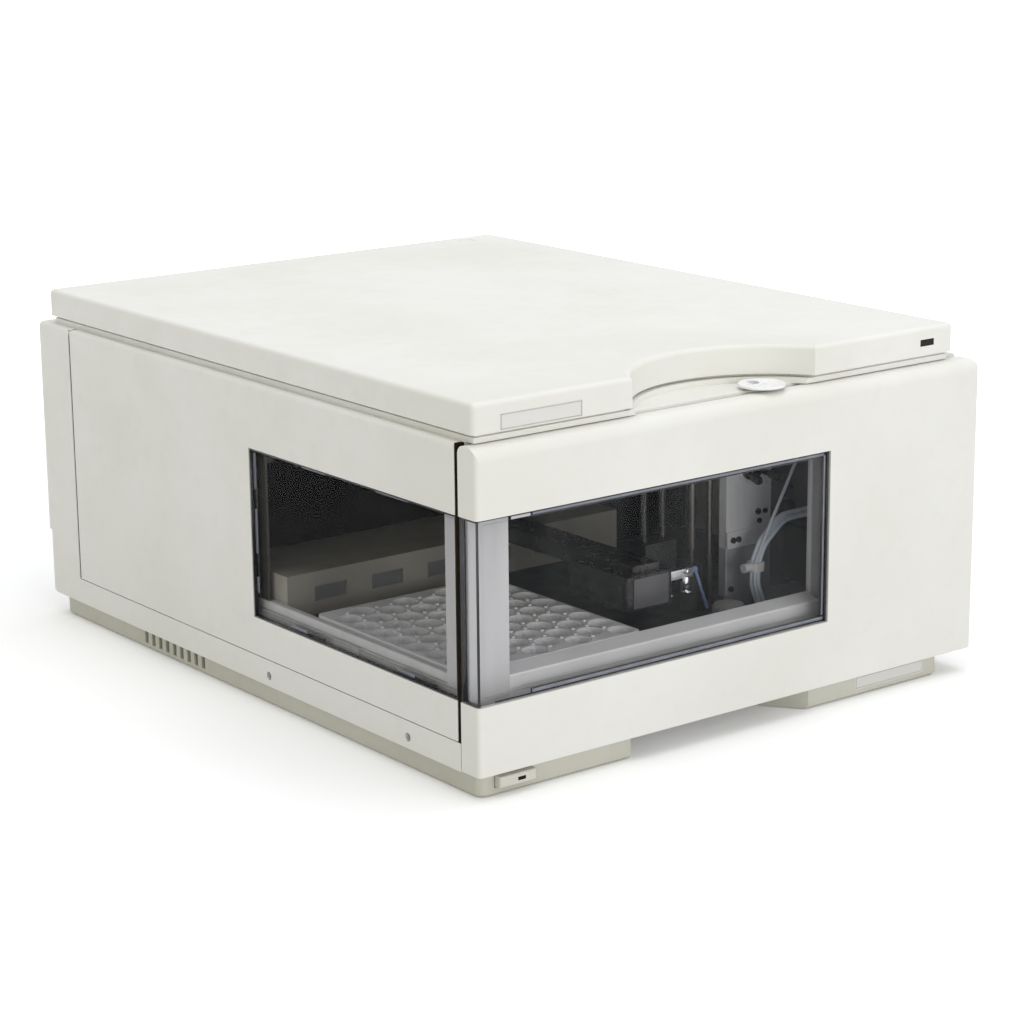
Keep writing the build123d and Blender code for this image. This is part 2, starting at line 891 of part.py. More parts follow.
def fan_frame():
    x, y, z = fan_centre()
    half = fan_size / 2
    frame = block(x - half, x + half, y - fan_deep, y, z - half, z + half)
    frame = fillet(frame.edges().filter_by(Axis.Y), fan_spoke)
    frame -= rod(x, y - fan_deep - over, z, "y", fan_bore, fan_deep + over + over)
    hub = rod(x, y - fan_axle_long, z, "y", fan_hub, fan_axle_long - over)
    for turn in range(4):
        spoke = block(x - fan_spoke / 2, x + fan_spoke / 2, y - fan_axle_long, y - over,
                      z, z + fan_bore + over)
        frame += spoke.rotate(Axis((x, y, z), (0, 1, 0)), 45 + 90 * turn)
    pin_long = fan_hub_deep - fan_axle_long
    pin = rod(x, y - fan_axle_long - pin_long, z, "y", fan_axle, pin_long)
    return frame + hub + pin


def fan_rotor():
    x, y, z = fan_centre()
    back = y - fan_axle_long - loose
    front = back - fan_hub_deep
    hub = rod(x, front, z, "y", fan_hub, fan_hub_deep)
    hub = fillet(hub.edges().filter_by(GeomType.CIRCLE).sort_by(Axis.Y)[0], soft_edge)
    for number in range(fan_blade_count):
        blade = block(-fan_blade_thick / 2, fan_blade_thick / 2, -fan_hub_deep / 2, fan_hub_deep / 2,
                      fan_hub - over, fan_bore - fan_rim_gap)
        blade = Pos(x, (front + back) / 2, z) * Rot(0, 0, fan_blade_turn) * blade
        hub += blade.rotate(Axis((x, y, z), (0, 1, 0)), 360 * number / fan_blade_count)
    tip = rod(x, front, z, "y", fan_bore - fan_rim_gap, fan_hub_deep)
    hub = hub & tip
    return hub - rod(x, front + wall, z, "y", fan_axle + play, fan_hub_deep)


def fan_guard():
    x, y, z = fan_centre()
    y = rear_face + guard_wire
    wires = []
    step = (fan_bore + over) / guard_ring_count
    guard = rod(x, rear_face, z, "y", guard_wire * 3, guard_wire * 2)
    for number in range(1, guard_ring_count + 1):
        ring = Pos(x, y, z) * Rot(90, 0, 0) * Torus(step * number, guard_wire)
        wires.append(ring)
    for turn in range(4):
        bar = rod(x, y, z, "z", guard_wire, fan_bore + over + guard_wire)
        wires.append(bar.rotate(Axis((x, y, z), (0, 1, 0)), 45 + 90 * turn))
    for wire in wires:
        guard += wire
    return guard


# Sample compartment

def corner_post():
    front = block(side_sill_left, side_sill_left + post_wide, shell_front + loose,
                  shell_front + loose + post_thick, shell_floor, deck_under)
    side = block(side_sill_left, side_sill_left + post_thick, shell_front + loose,
                 shell_front + loose + post_side, shell_floor, deck_under)
    post = front + side
    return fillet(near(post, Axis.Z, x=side_sill_left, y=shell_front + loose), soft_edge)


def sill_start():
    """Where the front sill meets the corner post."""
    return side_sill_left + post_wide


def front_sill():
    """The bar under the door's window, whose top falls towards the front."""
    front = shell_front + loose
    back = front + sill_deep
    front_top = sill_top - sill_fall
    section = [(front, shell_floor), (front, front_top), (back, sill_top), (back, shell_floor)]
    outline = make_face(Polyline(*[(sill_start(), y, z) for y, z in section], close=True))
    sill = extrude(outline, amount=sill_right - sill_start(), dir=(1, 0, 0))
    sill = fillet(near(sill, Axis.X, y=front, z=front_top), soft_edge)
    sill -= block(0, wide, front - over, front + soft_edge, shell_floor - over, sill_step_low)
    sill -= block(0, wide, front + sill_step, back + over, shell_floor - over, floor_top - floor_thick)
    return sill


def side_sill():
    front = shell_front + loose + post_side
    right = side_sill_left + side_sill_wide
    sill = block(side_sill_left, right, front, bay_back, shell_floor, side_sill_top)
    sill = fillet(near(sill, Axis.Y, x=side_sill_left, z=side_sill_top), soft_edge)
    step = block(0, side_sill_left + side_sill_step, 0, deep, side_sill_step_z - side_sill_step,
                 side_sill_step_z)
    catch = block(side_sill_left - side_sill_step, side_sill_left, catch_y, catch_y + catch_wide,
                  catch_low, catch_low + catch_tall)
    return sill - step + catch


def right_post():
    """The post behind the sill's right end, on the front wall of the leak tray."""
    front = shell_front + loose + sill_deep
    post = block(right_post_left, right_post_left + right_post_wide, front, front + wall, floor_top,
                 deck_under)
    return fillet(near(post, Axis.Z, x=right_post_left, y=front), soft_edge)


def compartment_floor():
    left = side_sill_left + side_sill_wide
    front = shell_front + loose + sill_deep
    low = floor_top - floor_thick
    floor = block(left, bay_right, front, bay_back, low, floor_top)
    inner = block(left + wall, bay_right - wall, front + wall, bay_back - wall, shell_floor, low)
    skirt = block(left, bay_right, front, bay_back, shell_floor, low)
    return floor + (skirt - inner)


def leak_tray():
    front = shell_front + loose + sill_deep
    tray = block(bay_right, inside_right, front, bay_back, shell_floor, floor_top)
    hollow = block(bay_right + wall, inside_right - wall, front + wall, bay_back - wall,
                   shell_floor + wall, high)
    return tray - hollow


def back_wall():
    return block(side_sill_left + sheet, inside_right, bay_back, bay_back + liner, shell_floor, deck_under)


def inner_side_wall():
    """A sheet behind the side panel, with a strip of it running forward over the side sill."""
    right = side_sill_left + sheet
    wall_sheet = block(side_sill_left, right, bay_back + liner, rear_inside - fan_deep, shell_floor,
                       deck_under)
    return wall_sheet + block(side_sill_left, right, side_wall_front, bay_back + liner, side_sill_top,
                              deck_under)


def ceiling_foam():
    front = shell_front + loose + post_thick
    foam = block(sill_start(), bay_right, front, column_y - column_lug_radius - over,
                 deck_under - liner, deck_under)
    return foam - rod(funnel_x, funnel_stem_y, 0, "z", funnel_stem_radius + loose, high)


def well_places():
    """The middles of the tray's wells: columns along Y, every other one half a pitch forward."""
    rows = []
    column_step = well_pitch * 3 ** 0.5 / 2
    number = 0
    x = well_first_x
    while x - well_radius > tray_left + soft_edge:
        y = well_first_y - (number % 2) * well_pitch / 2
        while y < tray_front + well_radius + well_rim:
            y += well_pitch
        while y + well_radius < tray_back - soft_edge:
            rows.append((x, y))
            y += well_pitch
        number += 1
        x = well_first_x - number * column_step
    return rows


def pillar_places():
    """Where three wells meet, to the right of each well and behind it."""
    reach = well_pitch / 3 ** 0.5
    spots = []
    for x, y in well_places():
        for along, behind in ((reach, 0), (reach / 2, well_pitch / 2)):
            if x + along < tray_right - pillar_radius and y + behind < tray_back - pillar_radius:
                spots.append((x + along, y + behind))
    return spots


def vial_tray():
    tray = block(tray_left, tray_right, tray_front, tray_back, floor_top, tray_top)
    tray = fillet(tray.edges().filter_by(Axis.Z), tray_corner)
    holes = Sketch() + [Pos(x, y) * Circle(well_radius) for x, y in well_places()]
    low = tray_top - well_deep
    tray -= extrude(Pos(0, 0, low) * holes, amount=well_deep + over, dir=(0, 0, 1))
    pillars = Sketch() + [Pos(x, y) * Circle(pillar_radius) for x, y in pillar_places()]
    tray += extrude(Pos(0, 0, low) * pillars, amount=well_deep - pillar_drop, dir=(0, 0, 1))
    nubs = Sketch() + [Pos(x, y) * Circle(nub_radius) for x, y in pillar_places()]
    return tray + extrude(Pos(0, 0, low) * nubs, amount=well_deep + nub_high, dir=(0, 0, 1))


def slotted_beam():
    left = side_sill_left + side_sill_wide
    beam = block(left, bay_right, beam_front, bay_back, beam_low, beam_top)
    beam -= block(left + beam_wall, bay_right - beam_wall, beam_front + beam_wall, bay_back + over,
                  floor_top - over, beam_top - beam_wall)
    feet = block(left, left + beam_wall, beam_front, bay_back, floor_top, beam_low)
    feet += block(bay_right - beam_wall, bay_right, beam_front, bay_back, floor_top, beam_low)
    for number in range(beam_slot_count):
        x = beam_slot_first + number * beam_slot_pitch
        beam -= block(x, x + beam_slot_wide, beam_front - over, beam_front + beam_wall + over,
                      beam_slot_low, beam_slot_low + beam_slot_tall)
    return beam + feet


# Transport

def rail_frame():
    """The bar behind the rods, with a cheek at each end that holds them."""
    left = side_sill_left + rail_end_inset
    right = bay_right - rail_end_inset + rail_end_thick
    bar = block(left, right, bay_back - rail_bar_deep, bay_back, rail_bar_low, rail_bar_high)
    for cheek in (left, right - rail_end_thick):
        bar += block(cheek, cheek + rail_end_thick, rail_y - rail_radius * 2, bay_back,
                     rail_bar_low, rail_bar_high)
    for z in (rail_low_z, rail_high_z):
        bar -= rod(left + rail_end_thick / 2, rail_y, z, "x", rail_radius, right - left - rail_end_thick)
    for x in (pulley_left_x(), pulley_right_x()):
        bar += rod(x, pulley_y(), rail_bar_high, "z", pulley_shaft,
                   pulley_z - rail_bar_high + pulley_tall)
        bar += block(x - pulley_shaft * 2, x + pulley_shaft * 2, pulley_y() - pulley_shaft * 2, bay_back,
                     rail_bar_high - rail_bar_deep, rail_bar_high)
    return bar


def pulley_y():
    """The belt pulleys stand over the rail bar, clear of the back wall."""
    return bay_back - pulley_radius - belt_thick * 2 - over


def pulley_left_x():
    return side_sill_left + rail_end_inset + rail_end_thick + pulley_radius + over


def pulley_right_x():
    return bay_right - rail_end_inset - pulley_radius - over


def guide_rods():
    left = side_sill_left + rail_end_inset + rail_end_thick / 2
    right = bay_right - rail_end_inset + rail_end_thick / 2
    rods = [rod(left, rail_y, z, "x", rail_radius, right - left) for z in (rail_low_z, rail_high_z)]
    return Compound(rods)


def pulley(x):
    top = pulley_z + pulley_tall
    wheel = rod(x, pulley_y(), pulley_z, "z", pulley_radius, pulley_tall)
    return wheel - rod(x, pulley_y(), pulley_z - over, "z", pulley_shaft + play, top)


def timing_belt():
    """A flat belt that runs round both pulleys."""
    inner = pulley_radius + loose
    outer = inner + belt_thick
    low = pulley_z + (pulley_tall - belt_tall) / 2
    left, right = pulley_left_x(), pulley_right_x()
    span = right - left
    loops = []
    for radius in (outer, inner):
        loop = rod(left, pulley_y(), low, "z", radius, belt_tall)
        loop += rod(right, pulley_y(), low, "z", radius, belt_tall)
        loop += block(left, left + span, pulley_y() - radius, pulley_y() + radius, low, low + belt_tall)
        loops.append(loop)
    return loops[0] - loops[1]


def drive_motor():
    left = pulley_right_x() - motor_size / 2
    low = rail_bar_low - motor_tall
    body = block(left, left + motor_size, bay_back - motor_size, bay_back, low, rail_bar_low)
    return chamfer(body.edges().filter_by(Axis.Z), soft_edge * 2)


def x_carriage():
    left = carriage_x - carriage_wide / 2
    front = rail_y - carriage_deep / 2
    low = rail_low_z - rail_radius * 2
    top = rail_high_z + rail_radius
    body = block(left, left + carriage_wide, front, front + carriage_deep, low, top)
    belt_front = pulley_y() - pulley_radius - loose - belt_thick
    body += block(carriage_x - clamp_wide / 2, carriage_x + clamp_wide / 2, belt_front - loose - wall,
                  belt_front - loose, top - over, pulley_z + pulley_tall)
    for z in (rail_low_z, rail_high_z):
        body -= rod(left - over, rail_y, z, "x", rail_radius + play, carriage_wide + over + over)
    lug = rod(carriage_x, column_y, low, "z", column_lug_radius, top - low)
    lug += block(carriage_x - column_lug_radius, carriage_x + column_lug_radius, column_y, front, low, top)
    return body + lug - rod(carriage_x, column_y, low - over, "z", column_radius + play, top)


def transport_arm():
    low = rail_low_z - rail_radius * 2
    top = rail_high_z + rail_radius
    right = arm_left + arm_wide
    block_back = arm_front + arm_block_deep
    head = block(arm_left, right, arm_front, block_back, arm_low, arm_low + arm_tall)
    head = fillet(near(head, Axis.Z, y=arm_front), arm_round)
    bar = block(arm_middle - arm_bar_half, arm_middle + arm_bar_half, block_back - over, column_y,
                arm_bar_low, arm_bar_high)
    neck = block(arm_middle - arm_bar_half, arm_middle + arm_bar_half, arm_front + arm_round, block_back,
                 arm_low + arm_tall - over, arm_bar_high)
    tail = rod(carriage_x, column_y, arm_bar_low, "z", arm_bar_half, arm_bar_high - arm_bar_low)
    shaft = rod(carriage_x, column_y, arm_bar_low, "z", column_radius, top - arm_bar_low)
    collar = rod(carriage_x, column_y, top + loose / 2, "z", column_collar, column_collar_thick)
    cap = rod(carriage_x, column_y, top, "z", column_radius, loose / 2)
    arm = head + neck + bar + tail + shaft + cap + collar
    foot = block(right - over, right + lift_foot_reach(), lift_y - lift_rod_radius * 2,
                 lift_y + lift_rod_radius * 2, arm_low, arm_low + lift_foot_tall)
    arm += foot
    for x in lift_places():
        arm += rod(x, lift_y, arm_low, "z", lift_rod_radius, lift_rod_top - arm_low)
    return arm


def lift_places():
    """The two lift rods on the arm's right side."""
    first = gripper_left + lift_rod_radius * 2
    return (first, first + lift_rod_gap)


def lift_foot_reach():
    """How far the rods' foot stands out from the arm's right side."""
    return gripper_left - arm_left - arm_wide + lift_rod_gap + lift_rod_radius * 5


def gripper():
    right = gripper_left + gripper_wide
    front = lift_y - gripper_deep / 2
    head = block(gripper_left, right, front, front + gripper_deep, gripper_low, gripper_low + gripper_tall)
    for x in lift_places():
        head -= rod(x, lift_y, gripper_low - over, "z", lift_rod_radius + play, gripper_tall + over + over)
    bracket = block(gripper_left, right, finger_front, front, gripper_low, gripper_low + finger_thick)
    bracket += block(gripper_left, right, finger_front, finger_front + finger_thick, gripper_low,
                     gripper_low + finger_wide)
    for x in (gripper_left + finger_thick, right - finger_thick - finger_wide):
        bracket += block(x, x + finger_wide, finger_front, finger_front + finger_thick, finger_low,
                         gripper_low)
    return head + bracket


# Sampling unit

def panel_right():
    return inside_right - panel_right_gap


def sampling_panel():
    panel = block(panel_left, panel_left + panel_wide, panel_front, panel_front + panel_thick,
                  seat_plate_top, panel_top)
    band = block(panel_left, panel_left + band_wide, panel_front - band_proud, panel_front,
                 band_low, band_low + band_tall)
    spindle = rod(stator_x, panel_front + panel_thick, stator_z, "y", rotor_spindle, rotor_long + over)
    return panel + band + spindle


def pump_plate():
    return block(panel_left + panel_wide, panel_right(), panel_front, panel_front + panel_thick,
                 panel_low, panel_top)


def seat_plate():
    plate = block(panel_left, panel_left + panel_wide, panel_front, panel_front + panel_thick,
                  panel_low, seat_plate_top)
    foot = block(bay_right + wall, panel_right(), panel_front + wall, panel_front + panel_thick,
                 shell_floor + wall, panel_low)
    return plate + foot


def panel_fixings():
    """Screws on the band, above it and under it, as places on the panel's front."""
    third = band_wide / 6
    on_band = panel_front - band_proud
    middle = band_low + band_tall / 2
    upper = band_low + band_tall + panel_screw_rise
    return [
        (panel_left + third, on_band, middle),
        (panel_left + third * 2, on_band, middle),
        (panel_left + band_wide, panel_front, upper),
        (panel_left + third, panel_front, panel_low + third),
    ]


def panel_screws():
    heads = []
    for x, y, z in panel_fixings():
        heads.append(rod(x, y - panel_screw_head, z, "y", panel_screw_radius, panel_screw_head))
    return Compound(heads)


def valve_stator():
    body = rod(stator_x, panel_front - stator_proud, stator_z, "y", stator_radius, stator_proud)
    return chamfer(body.edges().filter_by(GeomType.CIRCLE).sort_by(Axis.Y)[0], soft_edge)


def valve_rotor():
    """The wheel that turns the valve, on its spindle behind the panel."""
    front = panel_front + panel_thick + loose
    wheel = rod(stator_x, front, stator_z, "y", rotor_radius, rotor_long)
    flat = block(stator_x - rotor_radius, stator_x + rotor_radius, front - over, front + rotor_long + over,
                 stator_z + rotor_radius - rotor_flat, high)
    return wheel - flat - rod(stator_x, front - over, stator_z, "y", rotor_spindle + play, high)


def needle_rods():
    """The rod that guides the needle's block, and the bracket on the panel that holds its top."""
    guide = rod(needle_rod_x, needle_y, floor_top, "z", needle_rod_radius, needle_head_low - floor_top)
    half = needle_block_deep / 2
    head = block(needle_x - half, needle_rod_x + half, panel_front + panel_thick, needle_y + half,
                 needle_head_low, panel_top)
    return guide + head


def needle_seat():
    low = floor_top
    seat = rod(needle_x, needle_y, low, "z", seat_radius, seat_top - low)
    seat -= rod(needle_x, needle_y, seat_top - seat_cup_deep, "z", seat_cup_radius, seat_cup_deep + over)
    return seat


def sampling_needle():
    top = needle_block_low + needle_block_tall
    half = needle_block_deep / 2
    body = block(needle_x - half, needle_rod_x + half, needle_y - half, needle_y + half,
                 needle_block_low, top)
    body -= rod(needle_rod_x, needle_y, needle_block_low - over, "z", needle_rod_radius + play, high)
    holder = rod(needle_x, needle_y, needle_holder_low, "z", needle_holder_radius,
                 needle_block_low - needle_holder_low)
    needle = rod(needle_x, needle_y, needle_low, "z", needle_radius, needle_holder_low - needle_low)
    return body + holder + needle


def knurled_cap():
    cap = rod(cap_x, cap_y, floor_top, "z", cap_radius, cap_top - floor_top)
    cap = chamfer(cap.edges().filter_by(GeomType.CIRCLE).sort_by(Axis.Z)[-1], soft_edge)
    for number in range(cap_rib_count):
        groove = rod(cap_x + cap_radius, cap_y, floor_top + wall, "z", cap_rib, high)
        cap -= groove.rotate(Axis((cap_x, cap_y, 0), (0, 0, 1)), 360 * number / cap_rib_count)
    return cap


def flush_pump():
    half = pump_size / 2
    base = block(pump_x - half, pump_x + half, pump_y, panel_front, pump_z - half, pump_z + half)
    base = fillet(base.edges().filter_by(Axis.Y), wall)
    shaft_long = pump_rotor_deep - wall
    return base + rod(pump_x, pump_y - shaft_long, pump_z, "y", pump_shaft, shaft_long)


def pump_rotor():
    front = pump_y - pump_rotor_deep - loose
    wheel = rod(pump_x, front, pump_z, "y", pump_rotor_radius, pump_rotor_deep)
    for turn in range(3):
        notch = rod(pump_x, front - over, pump_z + pump_rotor_radius, "y", wall,
                    pump_rotor_deep + over + over)
        wheel -= notch.rotate(Axis((pump_x, 0, pump_z), (0, 1, 0)), 120 * turn)
    return wheel - rod(pump_x, front + wall, pump_z, "y", pump_shaft + play, pump_rotor_deep)


# Tubes

def seat_capillary():
    """A thin tube from the nut on the needle seat's front, down to the floor on the right."""
    y = needle_y - seat_radius - capillary_radius
    top = (needle_x - capillary_left, y, seat_top - capillary_drop)
    foot = (needle_x + capillary_right, y, floor_top + seam)
    line = Edge.make_line(top, foot)
    tube = sweep(Plane(origin=top, z_dir=line % 0) * Circle(capillary_radius), path=line)
    return tube + rod(top[0], y, top[2], "y", capillary_radius * 2, capillary_radius)


def bundle_points():
    """The bundle's middle line in X and Z."""
    start_z = pump_z + pump_size / 2 + tube_radius + seam
    first = panel_left + bundle_route[0][0]
    return [(first, start_z)] + [(panel_left + x, z) for x, z in bundle_route[1:]]


def beside(points, shift):
    """A line of X and Z points drawn at a distance beside another."""
    lines = [Vector(x, 0, z) for x, z in points]
    ways = [(b - a).normalized() for a, b in zip(lines, lines[1:])]
    sides = [Vector(-way.Z, 0, way.X) for way in ways]
    moved = []
    for number, point in enumerate(lines):
        first = sides[max(number - 1, 0)]
        second = sides[min(number, len(sides) - 1)]
        moved.append(point + (first + second) * (shift / (1 + first.dot(second))))
    return moved


def tube(points, y, radius):
    """A round tube along X and Z points at one depth."""
    route = FilletPolyline(*[(point.X, y, point.Z) for point in points], radius=bundle_bend)
    start = Plane(origin=route @ 0, z_dir=route % 0)
    return sweep(start * Circle(radius), path=route)


def tube_bundle():
    """Three tubes from the pump, and a thin one from the deck that lies in the bundle's outer front."""
    half = tube_spread / 2
    tubes = []
    for shift, back in ((-half, half), (half, -half), (half, half)):
        tubes.append(tube(beside(bundle_points(), shift), bundle_y + back, tube_radius))
    thin = [Vector(panel_left + waste_start, 0, deck_under - seam)]
    thin.append(Vector(panel_left + waste_bend[0], 0, waste_bend[1]))
    thin += beside(bundle_points(), -half)[waste_joins:]
    return Compound(tubes + [tube(thin, bundle_y - half, waste_radius)])


def tube_clip():
    """A tie round the bundle, with its head on the left."""
    inner = tube_spread / 2 + tube_radius + loose
    outer = inner + clip_thick
    low = clip_z - clip_tall / 2
    tie = block(clip_x - outer, clip_x + outer, bundle_y - outer, bundle_y + outer, low, low + clip_tall)
    tie = fillet(tie.edges().filter_by(Axis.Z), clip_thick * 2)
    tie -= block(clip_x - inner, clip_x + inner, bundle_y - inner, bundle_y + inner,
                 low - over, low + clip_tall + over)
    head = rod(clip_x - outer - clip_head_long, bundle_y, clip_z, "x", clip_tall / 2,
               clip_head_long + clip_thick)
    return tie + head


# Electronics bay

def main_board():
    low = board_z
    board = block(board_left, board_right, board_front, board_back, low, low + board_thick)
    span = board_right - board_left
    reach = board_back - board_front
    top = low + board_thick
    for along_share, back_share, size_share in chip_shares:
        x = board_left + span * along_share
        y = board_front + reach * back_share
        size = span * size_share
        board += block(x, x + size, y, y + size, top, top + chip_tall)
    for x in (board_left + board_post_inset, board_right - board_post_inset):
        for y in (board_front + board_post_inset, board_back - board_post_inset):
            board += rod(x, y, shell_floor, "z", board_post_radius, low - shell_floor)
    return board


def power_supply():
    box = block(supply_left, supply_right, supply_front, supply_back, shell_floor,
                shell_floor + supply_tall)
    return chamfer(box.edges().filter_by(Axis.Z), soft_edge)


if __name__ == "__main__":
    os.makedirs("parts", exist_ok=True)
    pieces = [
        base_pan, rubber_feet, rating_plate, button_lens, power_button, cabinet_shell, leak_funnel,
        name_plate, status_lens, top_cover, front_door, front_window, door_strike, door_hinges,
        side_door, side_window, rear_panel, rear_screws, power_inlet, data_sockets, fan_frame,
        fan_rotor, fan_guard, corner_post, front_sill, side_sill, right_post, compartment_floor,
        leak_tray, back_wall, inner_side_wall, ceiling_foam, vial_tray, slotted_beam, rail_frame,
        guide_rods, timing_belt, drive_motor, x_carriage, transport_arm, gripper, sampling_panel,
        seat_plate, pump_plate, panel_screws, valve_stator, valve_rotor, needle_rods, needle_seat,
        sampling_needle, knurled_cap, flush_pump, pump_rotor, seat_capillary, tube_bundle, tube_clip,
        main_board, power_supply,
    ]
    for piece in pieces:
        save(piece.__name__, piece())
    save("drive_pulley", pulley(pulley_right_x()))
    save("idler_pulley", pulley(pulley_left_x()))
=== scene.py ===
import math
import bmesh
import bpy
from mathutils import Matrix, Vector


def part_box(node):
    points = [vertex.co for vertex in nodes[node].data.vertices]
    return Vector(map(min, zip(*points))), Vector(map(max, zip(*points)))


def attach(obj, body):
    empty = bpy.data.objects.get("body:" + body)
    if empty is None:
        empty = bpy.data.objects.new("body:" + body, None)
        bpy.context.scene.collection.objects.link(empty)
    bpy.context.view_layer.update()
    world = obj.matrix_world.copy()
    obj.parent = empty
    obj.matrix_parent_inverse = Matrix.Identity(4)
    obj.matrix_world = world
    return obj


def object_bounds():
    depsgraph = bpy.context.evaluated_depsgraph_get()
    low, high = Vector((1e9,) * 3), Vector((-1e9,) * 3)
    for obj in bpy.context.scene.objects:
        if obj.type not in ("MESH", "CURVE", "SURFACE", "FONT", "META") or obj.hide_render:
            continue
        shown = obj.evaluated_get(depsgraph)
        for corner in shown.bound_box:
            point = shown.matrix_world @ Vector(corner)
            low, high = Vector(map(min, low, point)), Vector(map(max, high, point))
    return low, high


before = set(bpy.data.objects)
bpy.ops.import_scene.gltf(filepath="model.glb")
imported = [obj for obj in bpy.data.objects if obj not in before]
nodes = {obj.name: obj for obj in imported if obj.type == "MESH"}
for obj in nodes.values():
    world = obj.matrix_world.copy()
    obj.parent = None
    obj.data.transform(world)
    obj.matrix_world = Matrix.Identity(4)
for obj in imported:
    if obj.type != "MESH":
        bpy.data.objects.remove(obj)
cad_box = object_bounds()
scene = bpy.context.scene

# Places are counted in millimetres from the front left corner of the cabinet on the floor, with X to
# the right, Y to the back and Z up, as the drawing of the cabinet counts them.
front_left_corner = Vector(cad_box[0])


def at(x, y, z):
    """A place in metres, in the frame of the model."""
    return front_left_corner + Vector((x, y, z)) / 1000


# Materials

# Patterns that are as wide in every direction, or drawn out along one of them.
even = (1.0, 1.0, 1.0)
brushed_across = (0.03, 1.0, 1.0)
brushed_upwards = (1.0, 1.0, 0.03)
drawn_upwards = (1.0, 1.0, 0.1)
wiped_upwards = (1.0, 1.0, 0.25)


def linear(code):
    """An sRGB hex colour as linear values with an alpha of 1."""
    parts = [int(code[start:start + 2], 16) / 255 for start in (0, 2, 4)]
    return [p / 12.92 if p <= 0.04045 else ((p + 0.055) / 1.055) ** 2.4 for p in parts] + [1.0]


def add(tree, kind, settings=None, **inputs):
    """Adds a node with its settings and gives its outputs. An input goes by its name, or by its number
    after an underscore, and takes a value or another node's output."""
    made = tree.nodes.new(kind)
    for name, value in (settings or {}).items():
        setattr(made, name, value)
    for name, value in inputs.items():
        socket = made.inputs[int(name[1:]) if name[0] == "_" else name.replace("_", " ")]
        if isinstance(value, bpy.types.NodeSocket):
            tree.links.new(value, socket)
        else:
            socket.default_value = value
    return made.outputs


def blank(name):
    """A material with no nodes, and its node tree."""
    made = bpy.data.materials.new(name)
    made.use_nodes = True
    made.node_tree.nodes.clear()
    return made, made.node_tree


def patches(tree, size, low, high, start=0.3, end=0.7, stretch=even, detail=3.0):
    """A number that drifts between low and high, in soft patches as large as size in millimetres."""
    place = add(tree, "ShaderNodeTexCoord")["Object"]
    place = add(tree, "ShaderNodeMapping", Vector=place, Scale=stretch)[0]
    cloud = add(tree, "ShaderNodeTexNoise", Vector=place, Scale=1000.0 / size, Detail=detail)[0]
    return add(tree, "ShaderNodeMapRange", Value=cloud, From_Min=start, From_Max=end, To_Min=low,
               To_Max=high)[0]


def finished(name, light, dark, size, rough, grain, relief, stretch=even, **constants):
    """A surface whose colour and roughness drift over patches of a size, with a fine grain raised on
    it. The sizes of the patches and the grain, and the height of the grain, are in millimetres."""
    made, tree = blank(name)
    colour = add(tree, "ShaderNodeMix", {"data_type": "RGBA"}, _6=linear(light), _7=linear(dark),
                 _0=patches(tree, size, 0.0, 1.0, stretch=stretch))[2]
    rough_low, rough_high = rough
    # The sheen changes over smaller patches than the colour.
    sheen_size = size * 0.4
    height = patches(tree, grain, 0.0, 1.0, start=0.2, end=0.8, stretch=stretch, detail=1.0)
    shader = add(tree, "ShaderNodeBsdfPrincipled", Base_Color=colour,
                 Roughness=patches(tree, sheen_size, rough_low, rough_high, stretch=stretch),
                 Normal=add(tree, "ShaderNodeBump", Height=height, Distance=relief / 1000)[0],
                 **constants)
    add(tree, "ShaderNodeOutputMaterial", Surface=shader[0])
    return made


def moulded_abs(name, light, aged, rough):
    """Injection moulded ABS from a spark-eroded tool: a soft broad highlight over a fine pebbled grain,
    and a cream that has yellowed unevenly, with small smudges from handling."""
    yellowed_size = 120.0
    smudge_size = 9.0
    sheen_size = 14.0
    # The real grain is about 0.15 mm across. It is drawn at 0.7 mm, so that it shows at all.
    pebble_size = 0.7
    pebble_height = 0.012
    made, tree = blank(name)
    yellowed = patches(tree, yellowed_size, 0.0, 1.0, start=0.36, end=0.64)
    smudged = patches(tree, smudge_size, 0.0, 0.35, start=0.52, end=0.75)
    share = add(tree, "ShaderNodeMath", {"operation": "ADD", "use_clamp": True}, _0=yellowed,
                _1=smudged)[0]
    colour = add(tree, "ShaderNodeMix", {"data_type": "RGBA"}, _0=share, _6=linear(light),
                 _7=linear(aged))[2]
    pebbles = patches(tree, pebble_size, 0.0, 1.0, start=0.2, end=0.8, detail=1.0)
    rough_low, rough_high = rough
    shader = add(tree, "ShaderNodeBsdfPrincipled", Base_Color=colour, IOR=1.52,
                 Roughness=patches(tree, sheen_size, rough_low, rough_high),
                 Normal=add(tree, "ShaderNodeBump", Height=pebbles, Distance=pebble_height / 1000)[0])
    add(tree, "ShaderNodeOutputMaterial", Surface=shader[0])
    return made


